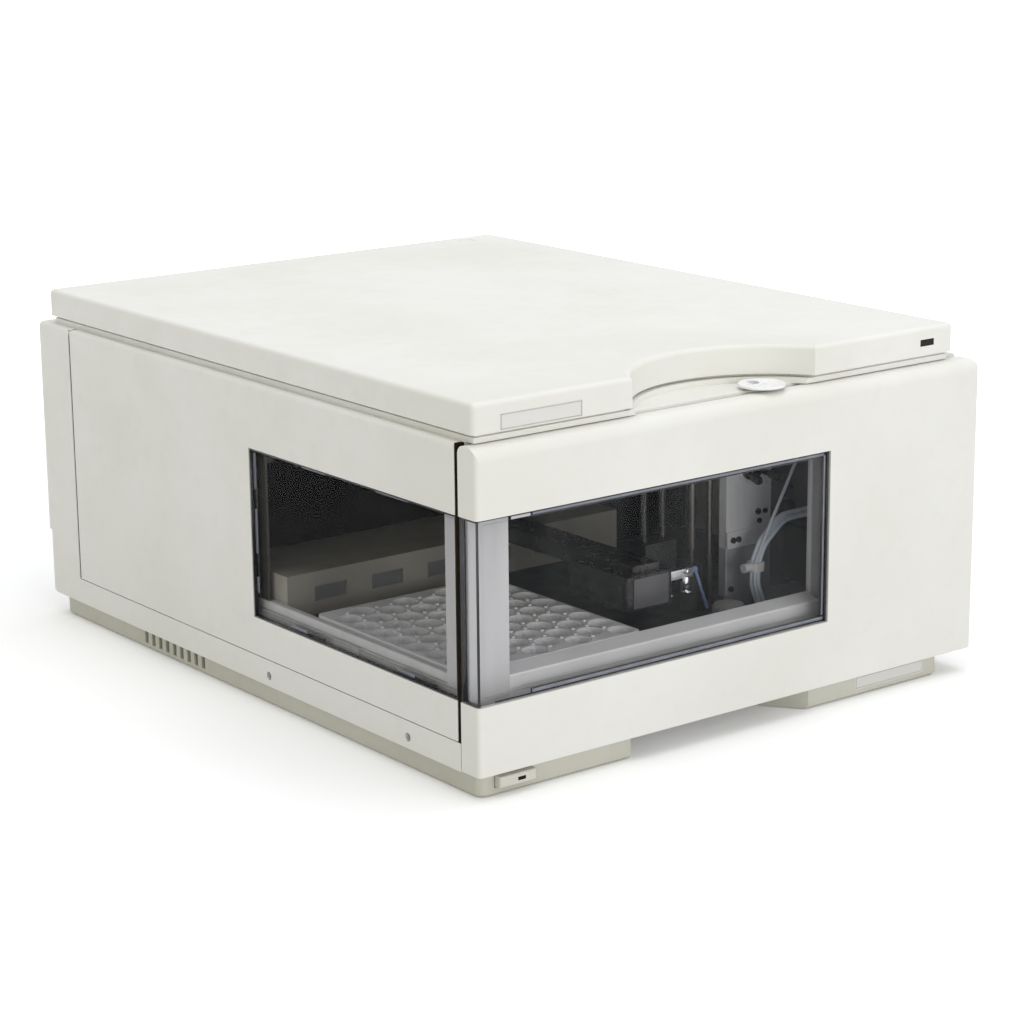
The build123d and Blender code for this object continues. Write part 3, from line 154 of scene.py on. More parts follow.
def smoked_acrylic(name, clear, dusty):
    """Injection moulded acrylic, lightly smoked and wiped many times: at a glancing angle more of its own
    lit colour shows, a painted reflection, and it carries a thin film of dust with wiping marks that run up
    and down."""
    acrylic_index = 1.49
    wipe_size = 30.0
    # The share of light that the film of dust holds back, and what a wiping mark adds to it.
    film, mark = 0.025, 0.015
    made, tree = blank(name)
    wiped = patches(tree, wipe_size, 0.0, 1.0, start=0.4, end=0.7, stretch=wiped_upwards)
    colour = add(tree, "ShaderNodeMix", {"data_type": "RGBA"}, _0=wiped, _6=linear(clear),
                 _7=linear(dusty))[2]
    # The same share is mirrored at the far face, where the light leaves the acrylic.
    behind = add(tree, "ShaderNodeNewGeometry")["Backfacing"]
    index = add(tree, "ShaderNodeMapRange", Value=behind, To_Min=acrylic_index, To_Max=1 / acrylic_index)[0]
    # Fresnel sets how much of the pane's lit colour shows: a painted reflection, where it outweighs the
    # dust veil.
    mirror = add(tree, "ShaderNodeFresnel", IOR=index)[0]
    veil = add(tree, "ShaderNodeMath", {"operation": "MULTIPLY_ADD"}, _0=wiped, _1=mark, _2=film)[0]
    seen = add(tree, "ShaderNodeMath", {"operation": "MAXIMUM"}, _0=mirror, _1=veil)[0]
    shader = add(tree, "ShaderNodeBsdfPrincipled", Base_Color=colour, IOR=acrylic_index, Roughness=0.05,
                 Alpha=seen)
    add(tree, "ShaderNodeOutputMaterial", Surface=shader[0])
    return made


def two_finishes(name, axis, edge, near, far, rough, metallic):
    """One surface with two finishes that meet at an edge square to an axis, whose place in metres is
    given. Near is the finish in front of the edge, and far the one behind it, each as a light and a
    dark colour, a roughness and a share of metal."""
    cloud_size = 12.0
    made, tree = blank(name)
    place = add(tree, "ShaderNodeTexCoord")["Object"]
    along = add(tree, "ShaderNodeSeparateXYZ", Vector=place)[axis]
    behind = add(tree, "ShaderNodeMath", {"operation": "GREATER_THAN"}, _0=along, _1=edge)[0]
    cloud = patches(tree, cloud_size, 0.0, 1.0)
    sides = [add(tree, "ShaderNodeMix", {"data_type": "RGBA"}, _0=cloud, _6=linear(light),
                 _7=linear(dark))[2] for light, dark in (near, far)]
    colour = add(tree, "ShaderNodeMix", {"data_type": "RGBA"}, _0=behind, _6=sides[0], _7=sides[1])[2]
    blur = add(tree, "ShaderNodeMapRange", Value=behind, To_Min=rough[0], To_Max=rough[1])[0]
    metal = add(tree, "ShaderNodeMapRange", Value=behind, To_Min=metallic[0], To_Max=metallic[1])[0]
    shader = add(tree, "ShaderNodeBsdfPrincipled", Base_Color=colour, Roughness=blur, Metallic=metal)
    add(tree, "ShaderNodeOutputMaterial", Surface=shader[0])
    return made


def cell_foam(name, light, dark):
    """Open cell polyurethane foam, cut from a block: nearly black, with no highlight, and pitted with
    cells about 1.5 mm across."""
    cell_size = 1.5
    pit_depth = 0.15
    made, tree = blank(name)
    place = add(tree, "ShaderNodeTexCoord")["Object"]
    cells = add(tree, "ShaderNodeTexVoronoi", Vector=place, Scale=1000.0 / cell_size)["Distance"]
    colour = add(tree, "ShaderNodeMix", {"data_type": "RGBA"}, _0=cells, _6=linear(dark),
                 _7=linear(light))[2]
    shader = add(tree, "ShaderNodeBsdfPrincipled", Base_Color=colour, Roughness=0.95,
                 Specular_IOR_Level=0.1,
                 Normal=add(tree, "ShaderNodeBump", Height=cells, Distance=pit_depth / 1000)[0])
    add(tree, "ShaderNodeOutputMaterial", Surface=shader[0])
    return made


def solder_mask(name, light, dark):
    """Glass epoxy board under a green lacquer: the copper tracks show through as paler, slightly raised
    bands, under a gloss."""
    # Real tracks lie closer than this, and wouldn't show. A brick of the pattern is half its unit long.
    track_length = 4.0
    track_height = 0.03
    gloss_size = 8.0
    made, tree = blank(name)
    place = add(tree, "ShaderNodeTexCoord")["Object"]
    tracks = add(tree, "ShaderNodeTexBrick", Vector=place, Scale=500.0 / track_length,
                 Mortar_Size=0.06)["Fac"]
    colour = add(tree, "ShaderNodeMix", {"data_type": "RGBA"}, _0=tracks, _6=linear(dark),
                 _7=linear(light))[2]
    shader = add(tree, "ShaderNodeBsdfPrincipled", Base_Color=colour, IOR=1.5, Coat_Weight=0.5,
                 Coat_Roughness=0.1, Roughness=patches(tree, gloss_size, 0.3, 0.5),
                 Normal=add(tree, "ShaderNodeBump", Height=tracks, Distance=track_height / 1000)[0])
    add(tree, "ShaderNodeOutputMaterial", Surface=shader[0])
    return made


# Moulded ABS of the covers and doors: pale cream, matt, and hardly yellowed.
cream_abs = moulded_abs("cream_abs", "E9E8E4", "E3E2DB", (0.40, 0.55))
# The same ABS in a darker grey beige for the base pan, a little rougher: partly the pan's own tone, partly
# painted shade of the recess under the rail.
skirt_abs = moulded_abs("skirt_abs", "CBCABE", "C1C0B2", (0.45, 0.60))
# The button's ABS has been pressed smooth: slightly glossier and yellower than the cover.
button_abs = moulded_abs("button_abs", "D6D4CB", "CDCBC0", (0.35, 0.50))
# The front pane carries more dust, which shows as a pale veil.
smoked_pane = smoked_acrylic("smoked_pane", "55585C", "9A9C9E")
# The side pane is almost clean, so it looks black where the compartment is dark.
clean_pane = smoked_acrylic("clean_pane", "0B0D11", "22252A")
# Moulded polycarbonate from a polished tool: even light grey with a satin highlight, and a little dust.
sill_plastic = finished("sill_plastic", "E4E4E6", "DBDBDD", 40.0, (0.30, 0.45), 2.5, 0.006, IOR=1.58)
# The same polycarbonate in a middle grey, with faint streaks that run up and down: painted reflections.
post_plastic = finished("post_plastic", "CFCFD1", "C2C2C5", 14.0, (0.30, 0.45), 2.5, 0.006, drawn_upwards,
                        IOR=1.58)
# Moulded polypropylene: an even, pale grey with a wide, soft highlight.
tray_plastic = finished("tray_plastic", "E4E4E7", "DADADD", 30.0, (0.35, 0.5), 2.5, 0.006, IOR=1.5)
# Filled polypropylene: a flat warm grey.
beam_plastic = finished("beam_plastic", "9B988F", "8D8A82", 30.0, (0.35, 0.5), 2.5, 0.006, IOR=1.5)
# Polypropylene with carbon black: dark, with the highlight of the tray.
shelf_plastic = finished("shelf_plastic", "2E2F30", "252627", 30.0, (0.35, 0.5), 2.5, 0.006, IOR=1.5)
# Machined white nylon: slightly translucent, so it reads as an even white with soft shadows.
white_nylon = finished("white_nylon", "F3F4F5", "EAEBEC", 10.0, (0.25, 0.4), 1.5, 0.006, IOR=1.53,
                       Subsurface_Weight=0.15, Subsurface_Scale=0.001)
# Polished acrylic over black print: a small deep black window with a faint highlight.
dark_lens = finished("dark_lens", "0C0A09", "080707", 5.0, (0.2, 0.3), 3.0, 0.002, IOR=1.49,
                     Specular_IOR_Level=0.15)
# Screen printed polyester film: a smooth, slightly glossy pale grey.
plate_print = finished("plate_print", "DBDAD5", "D7D6D1", 25.0, (0.3, 0.36), 2.0, 0.002, IOR=1.57)
# The border of the same film, printed in a darker grey that frames the plate.
plate_border = finished("plate_border", "B9B8B4", "AEADA9", 8.0, (0.3, 0.4), 2.0, 0.004, IOR=1.57)
# Turned acetal: dull grey, with a waxy highlight that follows the knurl.
grey_acetal = finished("grey_acetal", "8C8C8A", "7C7C7B", 8.0, (0.35, 0.45), 1.0, 0.01, IOR=1.48)
# Turned and moulded PEEK with carbon: nearly black, with a dull, slightly oily highlight.
dark_peek = finished("dark_peek", "2A2A2B", "1D1D1E", 6.0, (0.3, 0.45), 1.0, 0.008, IOR=1.65)
# The pane's moulded flange, seen through the pane: light is piped along it, so it glows pale and lilac
# between the dark lines of the cut edges.
rib_acrylic = finished("rib_acrylic", "8B8C98", "777985", 12.0, (0.1, 0.25), 4.0, 0.004, IOR=1.49)
# The cut edges of the same acrylic send no light to the eye: sharp, almost black lines.
edge_acrylic = finished("edge_acrylic", "15161B", "0C0D12", 20.0, (0.1, 0.25), 4.0, 0.004, IOR=1.49)
# Glass filled nylon: a dull black with a fine fibrous grain.
fan_plastic = finished("fan_plastic", "242425", "1A1A1B", 12.0, (0.4, 0.6), 0.8, 0.01, IOR=1.53)
# Stoved black lacquer on cast aluminium: deep black, with sharp highlights along the rounded edges.
gloss_black = finished("gloss_black", "1B1A19", "131211", 18.0, (0.2, 0.3), 1.5, 0.006, IOR=1.5,
                       Specular_IOR_Level=0.35, Coat_Weight=0.25, Coat_Roughness=0.08)
# Powder coated steel: a dark body whose fine orange peel breaks up the highlight.
matt_black = finished("matt_black", "242426", "1A1A1C", 18.0, (0.32, 0.5), 1.2, 0.02, IOR=1.5)
# Powder coated steel in a slate grey. Behind the beam's slots the same grey is painted shade, which sets
# how dark the slots look.
slate_plate_and_slot_shade = finished("slate_plate_and_slot_shade", "727276", "646468", 18.0, (0.4, 0.55), 1.2, 0.02, IOR=1.5)
# A dull grey on the arm's front: painted shade in place of the dim front face of the glossy casting round
# it.
arm_front_shade = finished("arm_front_shade", "56565A", "4B4B4F", 12.0, (0.4, 0.55), 1.2, 0.02, IOR=1.5)
# Steel sheet sprayed black, with a warm brown band along its front edge: a painted highlight where the edge
# catches the light.
depth_axis = 1
painted_highlight_ends = at(0, 203, 0).y
edge_highlighted_sheet = two_finishes("edge_highlighted_sheet", depth_axis, painted_highlight_ends, near=("3F3B35", "34302B"),
                            far=("2B2926", "201E1C"), rough=(0.4, 0.45), metallic=(0.0, 0.0))
# The gripper's bent bracket is chrome plated steel, and the block behind it is blackened.
bracket_ends = at(0, 71.3, 0).y
gripper_steel = two_finishes("gripper_steel", depth_axis, bracket_ends, near=("E2E3E5", "CFD1D4"),
                             far=("202022", "161617"), rough=(0.15, 0.35), metallic=(1.0, 0.2))
# Dark brown, with no highlight at all and a fine fuzz, drawn as felt: painted shade in the gaps round the
# side panel.
gap_shade_brown = finished("gap_shade_brown", "241C12", "17120B", 6.0, (0.9, 1.0), 0.7, 0.05,
                      Specular_IOR_Level=0.05)
# Foam behind the transport: so dark and porous that the compartment has no visible rear.
black_foam = cell_foam("black_foam", "0F0F10", "0A0A0B")
# Moulded nitrile rubber: almost black and dull, with a grey bloom in patches.
black_rubber = finished("black_rubber", "16161A", "34343A", 7.0, (0.6, 0.85), 0.8, 0.015, IOR=1.5)
# Neoprene belt: as dull as the feet, and more evenly black.
belt_rubber = finished("belt_rubber", "121213", "2A2A2C", 7.0, (0.6, 0.8), 0.8, 0.015, IOR=1.5)
# Brushed and anodised aluminium: fine lines run one way and draw the highlight out across them. The
# anodised layer scatters like paint, so the share of metal is small.
panel_aluminium = finished("panel_aluminium", "F0F0F2", "E2E3E6", 0.8, (0.45, 0.6), 0.6, 0.004,
                           brushed_upwards, Metallic=0.1)
# The seat's plate is brushed in the same way, and looks greyer and bluer.
seat_aluminium = finished("seat_aluminium", "C0C3C9", "AEB1B7", 0.8, (0.4, 0.55), 0.6, 0.004,
                          brushed_upwards, Metallic=0.2)
# Bare folded aluminium sheet: a plain metallic grey, with rolling lines from left to right.
case_aluminium = finished("case_aluminium", "C4C6C8", "AFB1B4", 0.8, (0.35, 0.5), 0.6, 0.004,
                          brushed_across, Metallic=1.0)
# Centreless ground steel: bright, with hair-fine lines.
ground_steel = finished("ground_steel", "B9B9B7", "A3A3A2", 0.8, (0.22, 0.34), 0.6, 0.003,
                        brushed_across, Metallic=1.0)
# Ground stainless steel of upright rods and fine tubes, with lines along them: drawn darker and warmer than
# the other ground steel, as painted shade of the dim compartment.
shaded_upright_steel = finished("shaded_upright_steel", "6E6B66", "5C5954", 0.8, (0.32, 0.45), 0.6, 0.003,
                         brushed_upwards, Metallic=1.0)
# Chrome plated steel: a sharp mirror, dulled here and there by finger marks.
bright_chrome = finished("bright_chrome", "E2E3E5", "CFD1D4", 10.0, (0.06, 0.2), 4.0, 0.002, Metallic=1.0)
# Zinc plated and passivated sheet: grey, cloudy patches with a soft sheen.
zinc_sheet = finished("zinc_sheet", "C2C4C4", "A9ACAD", 22.0, (0.28, 0.5), 4.0, 0.004, Metallic=1.0)
# Turned brass: yellow, with a narrow highlight round each turned face.
turned_brass = finished("turned_brass", "C9A45A", "B08D48", 5.0, (0.18, 0.32), 1.0, 0.003, Metallic=1.0)
# Extruded fluoropolymer tube: milky and bluish, with a waxy highlight and light in its wall.
milky_tube = finished("milky_tube", "EEF4FD", "E0EAF8", 12.0, (0.25, 0.35), 3.0, 0.005, IOR=1.35,
                      Subsurface_Weight=0.2, Subsurface_Scale=0.0012)
# The seat's capillary is the same kind of tube, dyed light blue.
blue_tube = finished("blue_tube", "A9C6F2", "96B8EA", 12.0, (0.25, 0.35), 3.0, 0.005, IOR=1.35,
                     Subsurface_Weight=0.2, Subsurface_Scale=0.0008)
# Lacquered circuit board: a glossy dark green with paler bands.
green_board = solder_mask("green_board", "1F6B43", "17502F")

# What each piece of the drawing is made of.
dress = {
    "base_pan": skirt_abs, "rubber_feet": black_rubber, "rating_plate": plate_print,
    "button_lens": dark_lens, "power_button": button_abs, "cabinet_shell": cream_abs,
    "leak_funnel": white_nylon, "name_plate": plate_print, "status_lens": dark_lens,
    "top_cover": cream_abs, "front_door": cream_abs, "front_window": smoked_pane,
    "door_strike": zinc_sheet, "door_hinges": zinc_sheet, "side_door": cream_abs,
    "side_window": clean_pane, "rear_panel": zinc_sheet, "rear_screws": ground_steel,
    "power_inlet": dark_peek, "data_sockets": bright_chrome, "fan_frame": fan_plastic,
    "fan_rotor": fan_plastic, "fan_guard": bright_chrome, "corner_post": post_plastic,
    "front_sill": sill_plastic, "side_sill": post_plastic, "right_post": tray_plastic,
    "compartment_floor": shelf_plastic, "leak_tray": shelf_plastic, "back_wall": black_foam,
    "inner_side_wall": edge_highlighted_sheet, "ceiling_foam": black_foam, "vial_tray": tray_plastic,
    "slotted_beam": beam_plastic, "rail_frame": matt_black, "guide_rods": ground_steel,
    "timing_belt": belt_rubber, "drive_motor": matt_black, "x_carriage": matt_black,
    "transport_arm": gloss_black, "gripper": gripper_steel, "sampling_panel": panel_aluminium,
    "seat_plate": seat_aluminium, "pump_plate": slate_plate_and_slot_shade, "panel_screws": matt_black,
    "valve_stator": shaded_upright_steel, "valve_rotor": dark_peek, "needle_rods": shaded_upright_steel,
    "needle_seat": dark_peek, "sampling_needle": shaded_upright_steel, "knurled_cap": grey_acetal,
    "flush_pump": dark_peek, "pump_rotor": white_nylon, "seat_capillary": blue_tube,
    "tube_bundle": milky_tube, "tube_clip": white_nylon, "main_board": green_board,
    "power_supply": case_aluminium, "drive_pulley": turned_brass, "idler_pulley": turned_brass,
}
for name, material in dress.items():
    thing = nodes[name]
    if not thing.material_slots:
        thing.data.materials.append(material)
    for place in thing.material_slots:
        place.material = material


# Pieces

# Faces that meet at more than this angle keep a sharp line between them.
sharp_angle = math.radians(35)
# A face with more corners than a quad is the end of a rod.
quad_corners = 4


def corners(node):
    """A node's lowest and highest corners, in millimetres from the front left corner of the cabinet."""
    origin = at(0, 0, 0)
    return [(Vector(corner) - origin) * 1000 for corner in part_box(node)]


def add_block(bm, low, high, edge=0.0):
    """A block between two corners in millimetres, with its edges bevelled."""
    low, high = at(*low), at(*high)
    made = bmesh.ops.create_cube(bm, size=1.0)["verts"]
    bmesh.ops.scale(bm, vec=high - low, verts=made)
    bmesh.ops.translate(bm, vec=(low + high) / 2, verts=made)
    if edge:
        # Without doubles, and in the same order on every run.
        edges = dict.fromkeys(line for corner in made for line in corner.link_edges)
        bmesh.ops.bevel(bm, geom=list(edges), offset=edge / 1000, offset_type="OFFSET", affect="EDGES",
                        segments=2, profile=0.5, material=-1)


def add_rod(bm, start, end, radius, sides=24, edge=0.0):
    """A round bar between two places in millimetres, with its rims bevelled."""
    start, end = at(*start), at(*end)
    way = end - start
    made = bmesh.ops.create_cone(bm, cap_ends=True, segments=sides, radius1=radius / 1000,
                                 radius2=radius / 1000, depth=way.length)["verts"]
    turn = Vector((0, 0, 1)).rotation_difference(way).to_matrix().to_4x4()
    bmesh.ops.transform(bm, matrix=Matrix.Translation((start + end) / 2) @ turn, verts=made)
    if edge:
        rims = dict.fromkeys(line for corner in made for line in corner.link_edges
                             if any(len(face.verts) > quad_corners for face in line.link_faces))
        bmesh.ops.bevel(bm, geom=list(rims), offset=edge / 1000, offset_type="OFFSET", affect="EDGES",
                        segments=2, profile=0.5, material=-1)


def piece(bm, name, material, body):
    """Turns a finished bmesh into a piece that rides on a body."""
    bmesh.ops.recalc_face_normals(bm, faces=bm.faces[:])
    mesh = bpy.data.meshes.new(name)
    bm.to_mesh(mesh)
    bm.free()
    for face in mesh.polygons:
        face.use_smooth = True
    mesh.set_sharp_from_angle(angle=sharp_angle)
    mesh.materials.append(material)
    made = bpy.data.objects.new(name, mesh)
    scene.collection.objects.link(made)
    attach(made, body)


# Panes
#
# Both panes lie in openings of one height. A flange is moulded behind their rims, as ribs with dark
# lines beside them, and it ends just short of the cover's inner face.

# Depths behind the outer face.
pane_back = 2.3
line_front = 2.5
flange_back = 2.95
# Heights of the panes, and of the dark lines along their lower and upper edges.
pane_low = 50.0
pane_top = 143.5
low_edge = 49.9
top_edge = 142.7
# Roundings.
rib_round = 0.15
line_round = 0.1


def front_strip(bm, front, across, heights, edge):
    """A strip behind the front pane, from its left to its right and from its foot to its top."""
    left, right = across
    low, high = heights
    add_block(bm, (left, front, low), (right, flange_back, high), edge)


def side_strip(bm, outer, along, heights, edge):
    """A strip behind the side pane, from its front to its rear and from its foot to its top."""
    front, rear = along
    low, high = heights
    add_block(bm, (outer, front, low), (flange_back, rear, high), edge)


def front_pane_flange():
    """The ribs behind the front pane's rim, the pale tab at the left of the upper rib, and the dark
    lines that the pane's cut edges make all round it."""
    lower_rib = (50.7, 52.3)
    upper_rib = (141.2, 142.5)
    lower_line = (52.5, 53.0)
    upper_line = (140.3, 141.0)
    right_rib = (231.2, 232.5)
    right_line = (230.2, 231.0)
    right_edge = (232.6, 233.6)
    right_edge_front = 1.2
    ribs_right = right_rib[1]
    lower_left = 35.0
    upper_left = 36.2
    upright_foot = 53.2

    ribs = bmesh.new()
    front_strip(ribs, pane_back, right_rib, (upright_foot, upper_rib[1]), rib_round)
    front_strip(ribs, pane_back, (upper_left, ribs_right), upper_rib, rib_round)
    front_strip(ribs, pane_back, (lower_left, ribs_right), lower_rib, rib_round)
    piece(ribs, "front_pane_ribs", rib_acrylic, "front_door")

    tab_across = (22.9, 34.7)
    tab_heights = (141.0, 142.5)
    tab = bmesh.new()
    front_strip(tab, pane_back, tab_across, tab_heights, rib_round)
    piece(tab, "front_pane_tabs", post_plastic, "front_door")

    top_edge_left = 0.9
    low_edge_left = 12.0
    low_edge_top = 50.5
    # The short upright lines at the left ends of the ribs.
    upper_end = ((35.0, 35.9), (140.3, 142.6))
    lower_end = ((34.2, 34.9), (50.5, 53.0))
    lines = bmesh.new()
    front_strip(lines, right_edge_front, right_edge, (pane_low, pane_top), line_round)
    front_strip(lines, line_front, right_line, (upright_foot, upper_line[1]), line_round)
    front_strip(lines, pane_back, (top_edge_left, ribs_right), (top_edge, pane_top), line_round)
    front_strip(lines, line_front, (upper_left, right_line[1]), upper_line, line_round)
    front_strip(lines, pane_back, *upper_end, line_round)
    front_strip(lines, pane_back, (low_edge_left, ribs_right), (low_edge, low_edge_top), line_round)
    front_strip(lines, line_front, (lower_left, ribs_right), lower_line, line_round)
    front_strip(lines, pane_back, *lower_end, line_round)
    # The pane turns round the cabinet's left corner, and ends at the gap in front of the side panel.
    turn_outer, turn_inner = 0.55, 1.7
    turn_round = 0.3
    turn_top = 143.4
    end_front, end_back = 13.6, 14.5
    end_round = 0.2
    return_outer, return_inner = 0.5, 2.9
    return_top_edge = 142.8
    add_block(lines, (turn_outer, turn_outer, pane_low), (turn_inner, turn_inner, turn_top), turn_round)
    add_block(lines, (return_outer, end_front, pane_low), (return_inner, end_back, turn_top), end_round)
    for low, high in ((return_top_edge, pane_top), (low_edge, low_edge_top)):
        add_block(lines, (return_outer, turn_inner, low), (return_inner, end_front, high), line_round)
    piece(lines, "front_pane_edges", edge_acrylic, "front_door")


def side_pane_flange():
    """The side pane's flange is broken by snap tabs, which show dark between its ribs."""
    upper_rib = (141.4, 142.4)
    lower_rib = (50.6, 52.4)
    rear_rib = (201.2, 203.2)
    rear_line = (200.6, 201.1)
    rear_edge = (203.2, 203.7)
    front_edge = (17.8, 18.5)

    ribs = bmesh.new()
    for heights in ((121.0, 141.0), (85.0, 110.0), (63.0, 72.0)):
        side_strip(ribs, pane_back, rear_rib, heights, rib_round)
    for along in ((60.0, 88.0), (134.0, 156.0)):
        side_strip(ribs, pane_back, along, upper_rib, rib_round)
    for along in ((57.0, 73.0), (155.0, 171.0)):
        side_strip(ribs, pane_back, along, lower_rib, rib_round)
    piece(ribs, "side_pane_ribs", rib_acrylic, "side_door")

    edge_outer = 0.5
    edge_round = 0.2
    tab_outer = 2.4
    tab_heights = (50.8, 52.2)
    low_edge_top = 50.4
    whole_length = (front_edge[0], rear_rib[1])
    line_heights = (53.0, 141.0)
    lines = bmesh.new()
    side_strip(lines, edge_outer, rear_edge, (pane_low, pane_top), line_round)
    side_strip(lines, line_front, rear_line, line_heights, line_round)
    side_strip(lines, edge_outer, whole_length, (top_edge, pane_top), line_round)
    side_strip(lines, edge_outer, whole_length, (low_edge, low_edge_top), line_round)
    side_strip(lines, edge_outer, front_edge, (low_edge_top, top_edge), edge_round)
    for heights in ((110.5, 120.5), (72.5, 84.5)):
        side_strip(lines, tab_outer, rear_rib, heights, line_round)
    for along in ((38.0, 56.5), (138.0, 154.5)):
        side_strip(lines, tab_outer, along, tab_heights, line_round)
    piece(lines, "side_pane_edges", edge_acrylic, "side_door")


# Cabinet

def raised_border(name, plate, inset, depths, wide, edge, body):
    """A raised border on a bare plate, inset from its ends and from its long sides. Its depths are those
    of its front and its back against the plate's face."""
    low, high = corners(plate)
    end_inset, side_inset = inset
    left, right = low.x + end_inset, high.x - end_inset
    foot, top = low.z + side_inset, high.z - side_inset
    front, back = (low.y + depth for depth in depths)
    bm = bmesh.new()
    for strip in (((left, front, top - wide), (right, back, top)),
                  ((left, front, foot), (right, back, foot + wide)),
                  ((left, front, foot), (left + wide, back, top)),
                  ((right - wide, front, foot), (right, back, top))):
        add_block(bm, *strip, edge)
    piece(bm, name, plate_border, body)


def bare_plates():
    """The borders of the lid's name plate and of the plate on the foot block."""
    raised_border("name_plate_border", "name_plate", inset=(0.5, 0.4), depths=(-0.2, 0.2), wide=0.5,
                  edge=0.08, body="lid")
    raised_border("rating_plate_border", "rating_plate", inset=(0.5, 0.6), depths=(-0.1, 0.15), wide=0.4,
                  edge=0.06, body="chassis")


def painted_gap_shade():
    """Dark brown strips in the gaps round the side panel: painted shade under it, behind it, and between it
    and the front door."""
    low, high = corners("side_door")
    door_back = corners("front_door")[1].y
    round_edge = 0.05
    outer, inner = 0.5, 3.0
    bm = bmesh.new()
    add_block(bm, (outer, low.y + 0.2, low.z - 0.45), (inner, high.y - 0.1, low.z - 0.05), round_edge)
    add_block(bm, (outer, high.y + 0.1, low.z + 0.1), (inner, high.y + 0.5, high.z - 0.5), round_edge)
    # In front of the panel the painted shade reaches almost to the outer faces, so the gap shows as dark.
    outer, inner = 0.15, 4.5
    add_block(bm, (outer, door_back + 0.1, low.z - 0.4), (inner, low.y - 0.05, high.z - 0.1), round_edge)
    piece(bm, "painted_gap_shade", gap_shade_brown, "chassis")


def painted_slot_shade():
    """A grey strip behind the slots of the beam behind the tray: painted shade, which sets how dark the
    slots look.
    """
    low, high = corners("slotted_beam")
    foot, top = 56.0, 68.0
    bm = bmesh.new()
    add_block(bm, (low.x + 2.7, low.y + 2.2, foot), (high.x - 4.0, low.y + 2.8, top))
    piece(bm, "painted_slot_shade", slate_plate_and_slot_shade, "chassis")


# Sampling unit

def valve_fittings():
    """The valve's flange, and finger-tight nuts with steel capillaries on its face."""
    middle_x, middle_z = 256.0, 116.0
    # The flange sits a little to the right of the stator and above it.
    flange_x, flange_z = 257.0, 116.5
    flange_front, flange_rear = 86.0, 87.9
    flange_radius = 11.2
    flange = bmesh.new()
    add_rod(flange, (flange_x, flange_front, flange_z), (flange_x, flange_rear, flange_z), flange_radius,
            sides=48, edge=0.5)
    piece(flange, "valve_flange", panel_aluminium, "chassis")
    # Each nut leans outwards. Its foot, neck and head and the end of its capillary lie at these
    # distances from the valve's middle, and at these depths.
    outwards = (4.6, 7.0, 9.0, 9.9)
    depths = (82.9, 77.5, 71.0, 68.2)
    neck_radius, head_radius, capillary_radius = 1.6, 2.6, 0.6
    nuts = bmesh.new()
    capillaries = bmesh.new()
    # The sixth port, at the bottom, has no nut.
    for turn in (90, 30, 150, 210, 330):
        across = math.cos(math.radians(turn))
        up = math.sin(math.radians(turn))
        foot, neck, head, tail = [(middle_x + out * across, depth, middle_z + out * up)
                                  for out, depth in zip(outwards, depths)]
        add_rod(nuts, foot, neck, neck_radius, sides=16)
        add_rod(nuts, neck, head, head_radius, sides=6, edge=0.3)
        add_rod(capillaries, head, tail, capillary_radius, sides=10)
    piece(nuts, "valve_nuts", dark_peek, "chassis")
    piece(capillaries, "valve_capillaries", shaded_upright_steel, "chassis")


def panel_details():
    """The bright fold along the panel's left edge, and small screws and a knob behind the tubes."""
    low = corners("seat_plate")[0]
    face = low.y
    fold_foot, fold_top = 43.5, 150.0
    fold_wide = 0.7
    fold = bmesh.new()
    add_block(fold, (low.x, face - 0.5, fold_foot), (low.x + fold_wide, face + 0.1, fold_top), 0.1)
    piece(fold, "panel_fold", panel_aluminium, "chassis")
    screw_head, screw_radius = 1.3, 1.5
    knob_long, knob_radius = 8.0, 4.6
    knob_x, knob_z = 281.0, 89.3
    bm = bmesh.new()
    for x, z in ((268.3, 88.3), (264.0, 83.1), (287.7, 99.0)):
        add_rod(bm, (x, face, z), (x, face - screw_head, z), screw_radius, sides=20, edge=0.25)
    add_rod(bm, (knob_x, face, knob_z), (knob_x, face - knob_long, knob_z), knob_radius, sides=32,
            edge=0.8)
    piece(bm, "panel_knob", dark_peek, "chassis")


# Transport

def arm_front_shade_plate():
    """A dull grey plate on the front of the arm: painted shade of the arm's front face."""
    arm_front = corners("transport_arm")[0].y
    left, right = 136.5, 160.5
    foot, top = 64.0, 80.5
    thick = 0.7
    bm = bmesh.new()
    add_block(bm, (left, arm_front - thick, foot), (right, arm_front, top), 0.25)
    piece(bm, "arm_front_shade_plate", arm_front_shade, "arm")


def gripper_details():
    """Small screws and spring blades on the gripper's bracket."""
    bracket_front = corners("gripper")[0].y
    screw_z, screw_radius = 74.0, 1.3
    screw_start, screw_end = bracket_front + 0.1, bracket_front - 1.4
    nut_y, nut_foot, nut_radius = 64.8, 72.4, 1.8
    blade_wide = 3.8
    blade_back = bracket_front - 0.1
    blade_front, blade_foot, blade_top = 56.9, 62.8, 71.0
    toe_front, toe_foot, toe_top = 55.6, 61.9, 63.2
    bm = bmesh.new()
    for x in (171.0, 184.0):
        add_rod(bm, (x, screw_start, screw_z), (x, screw_end, screw_z), screw_radius, sides=20, edge=0.25)
        add_rod(bm, (x, nut_y, nut_foot), (x, nut_y, screw_z), nut_radius, sides=6, edge=0.25)
    for left in (169.2, 182.2):
        right = left + blade_wide
        add_block(bm, (left, blade_front, blade_foot), (right, blade_back, blade_top), 0.3)
        add_block(bm, (left, toe_front, toe_foot), (right, blade_back, toe_top), 0.3)
    piece(bm, "gripper_blades", bright_chrome, "gripper")


# Rear

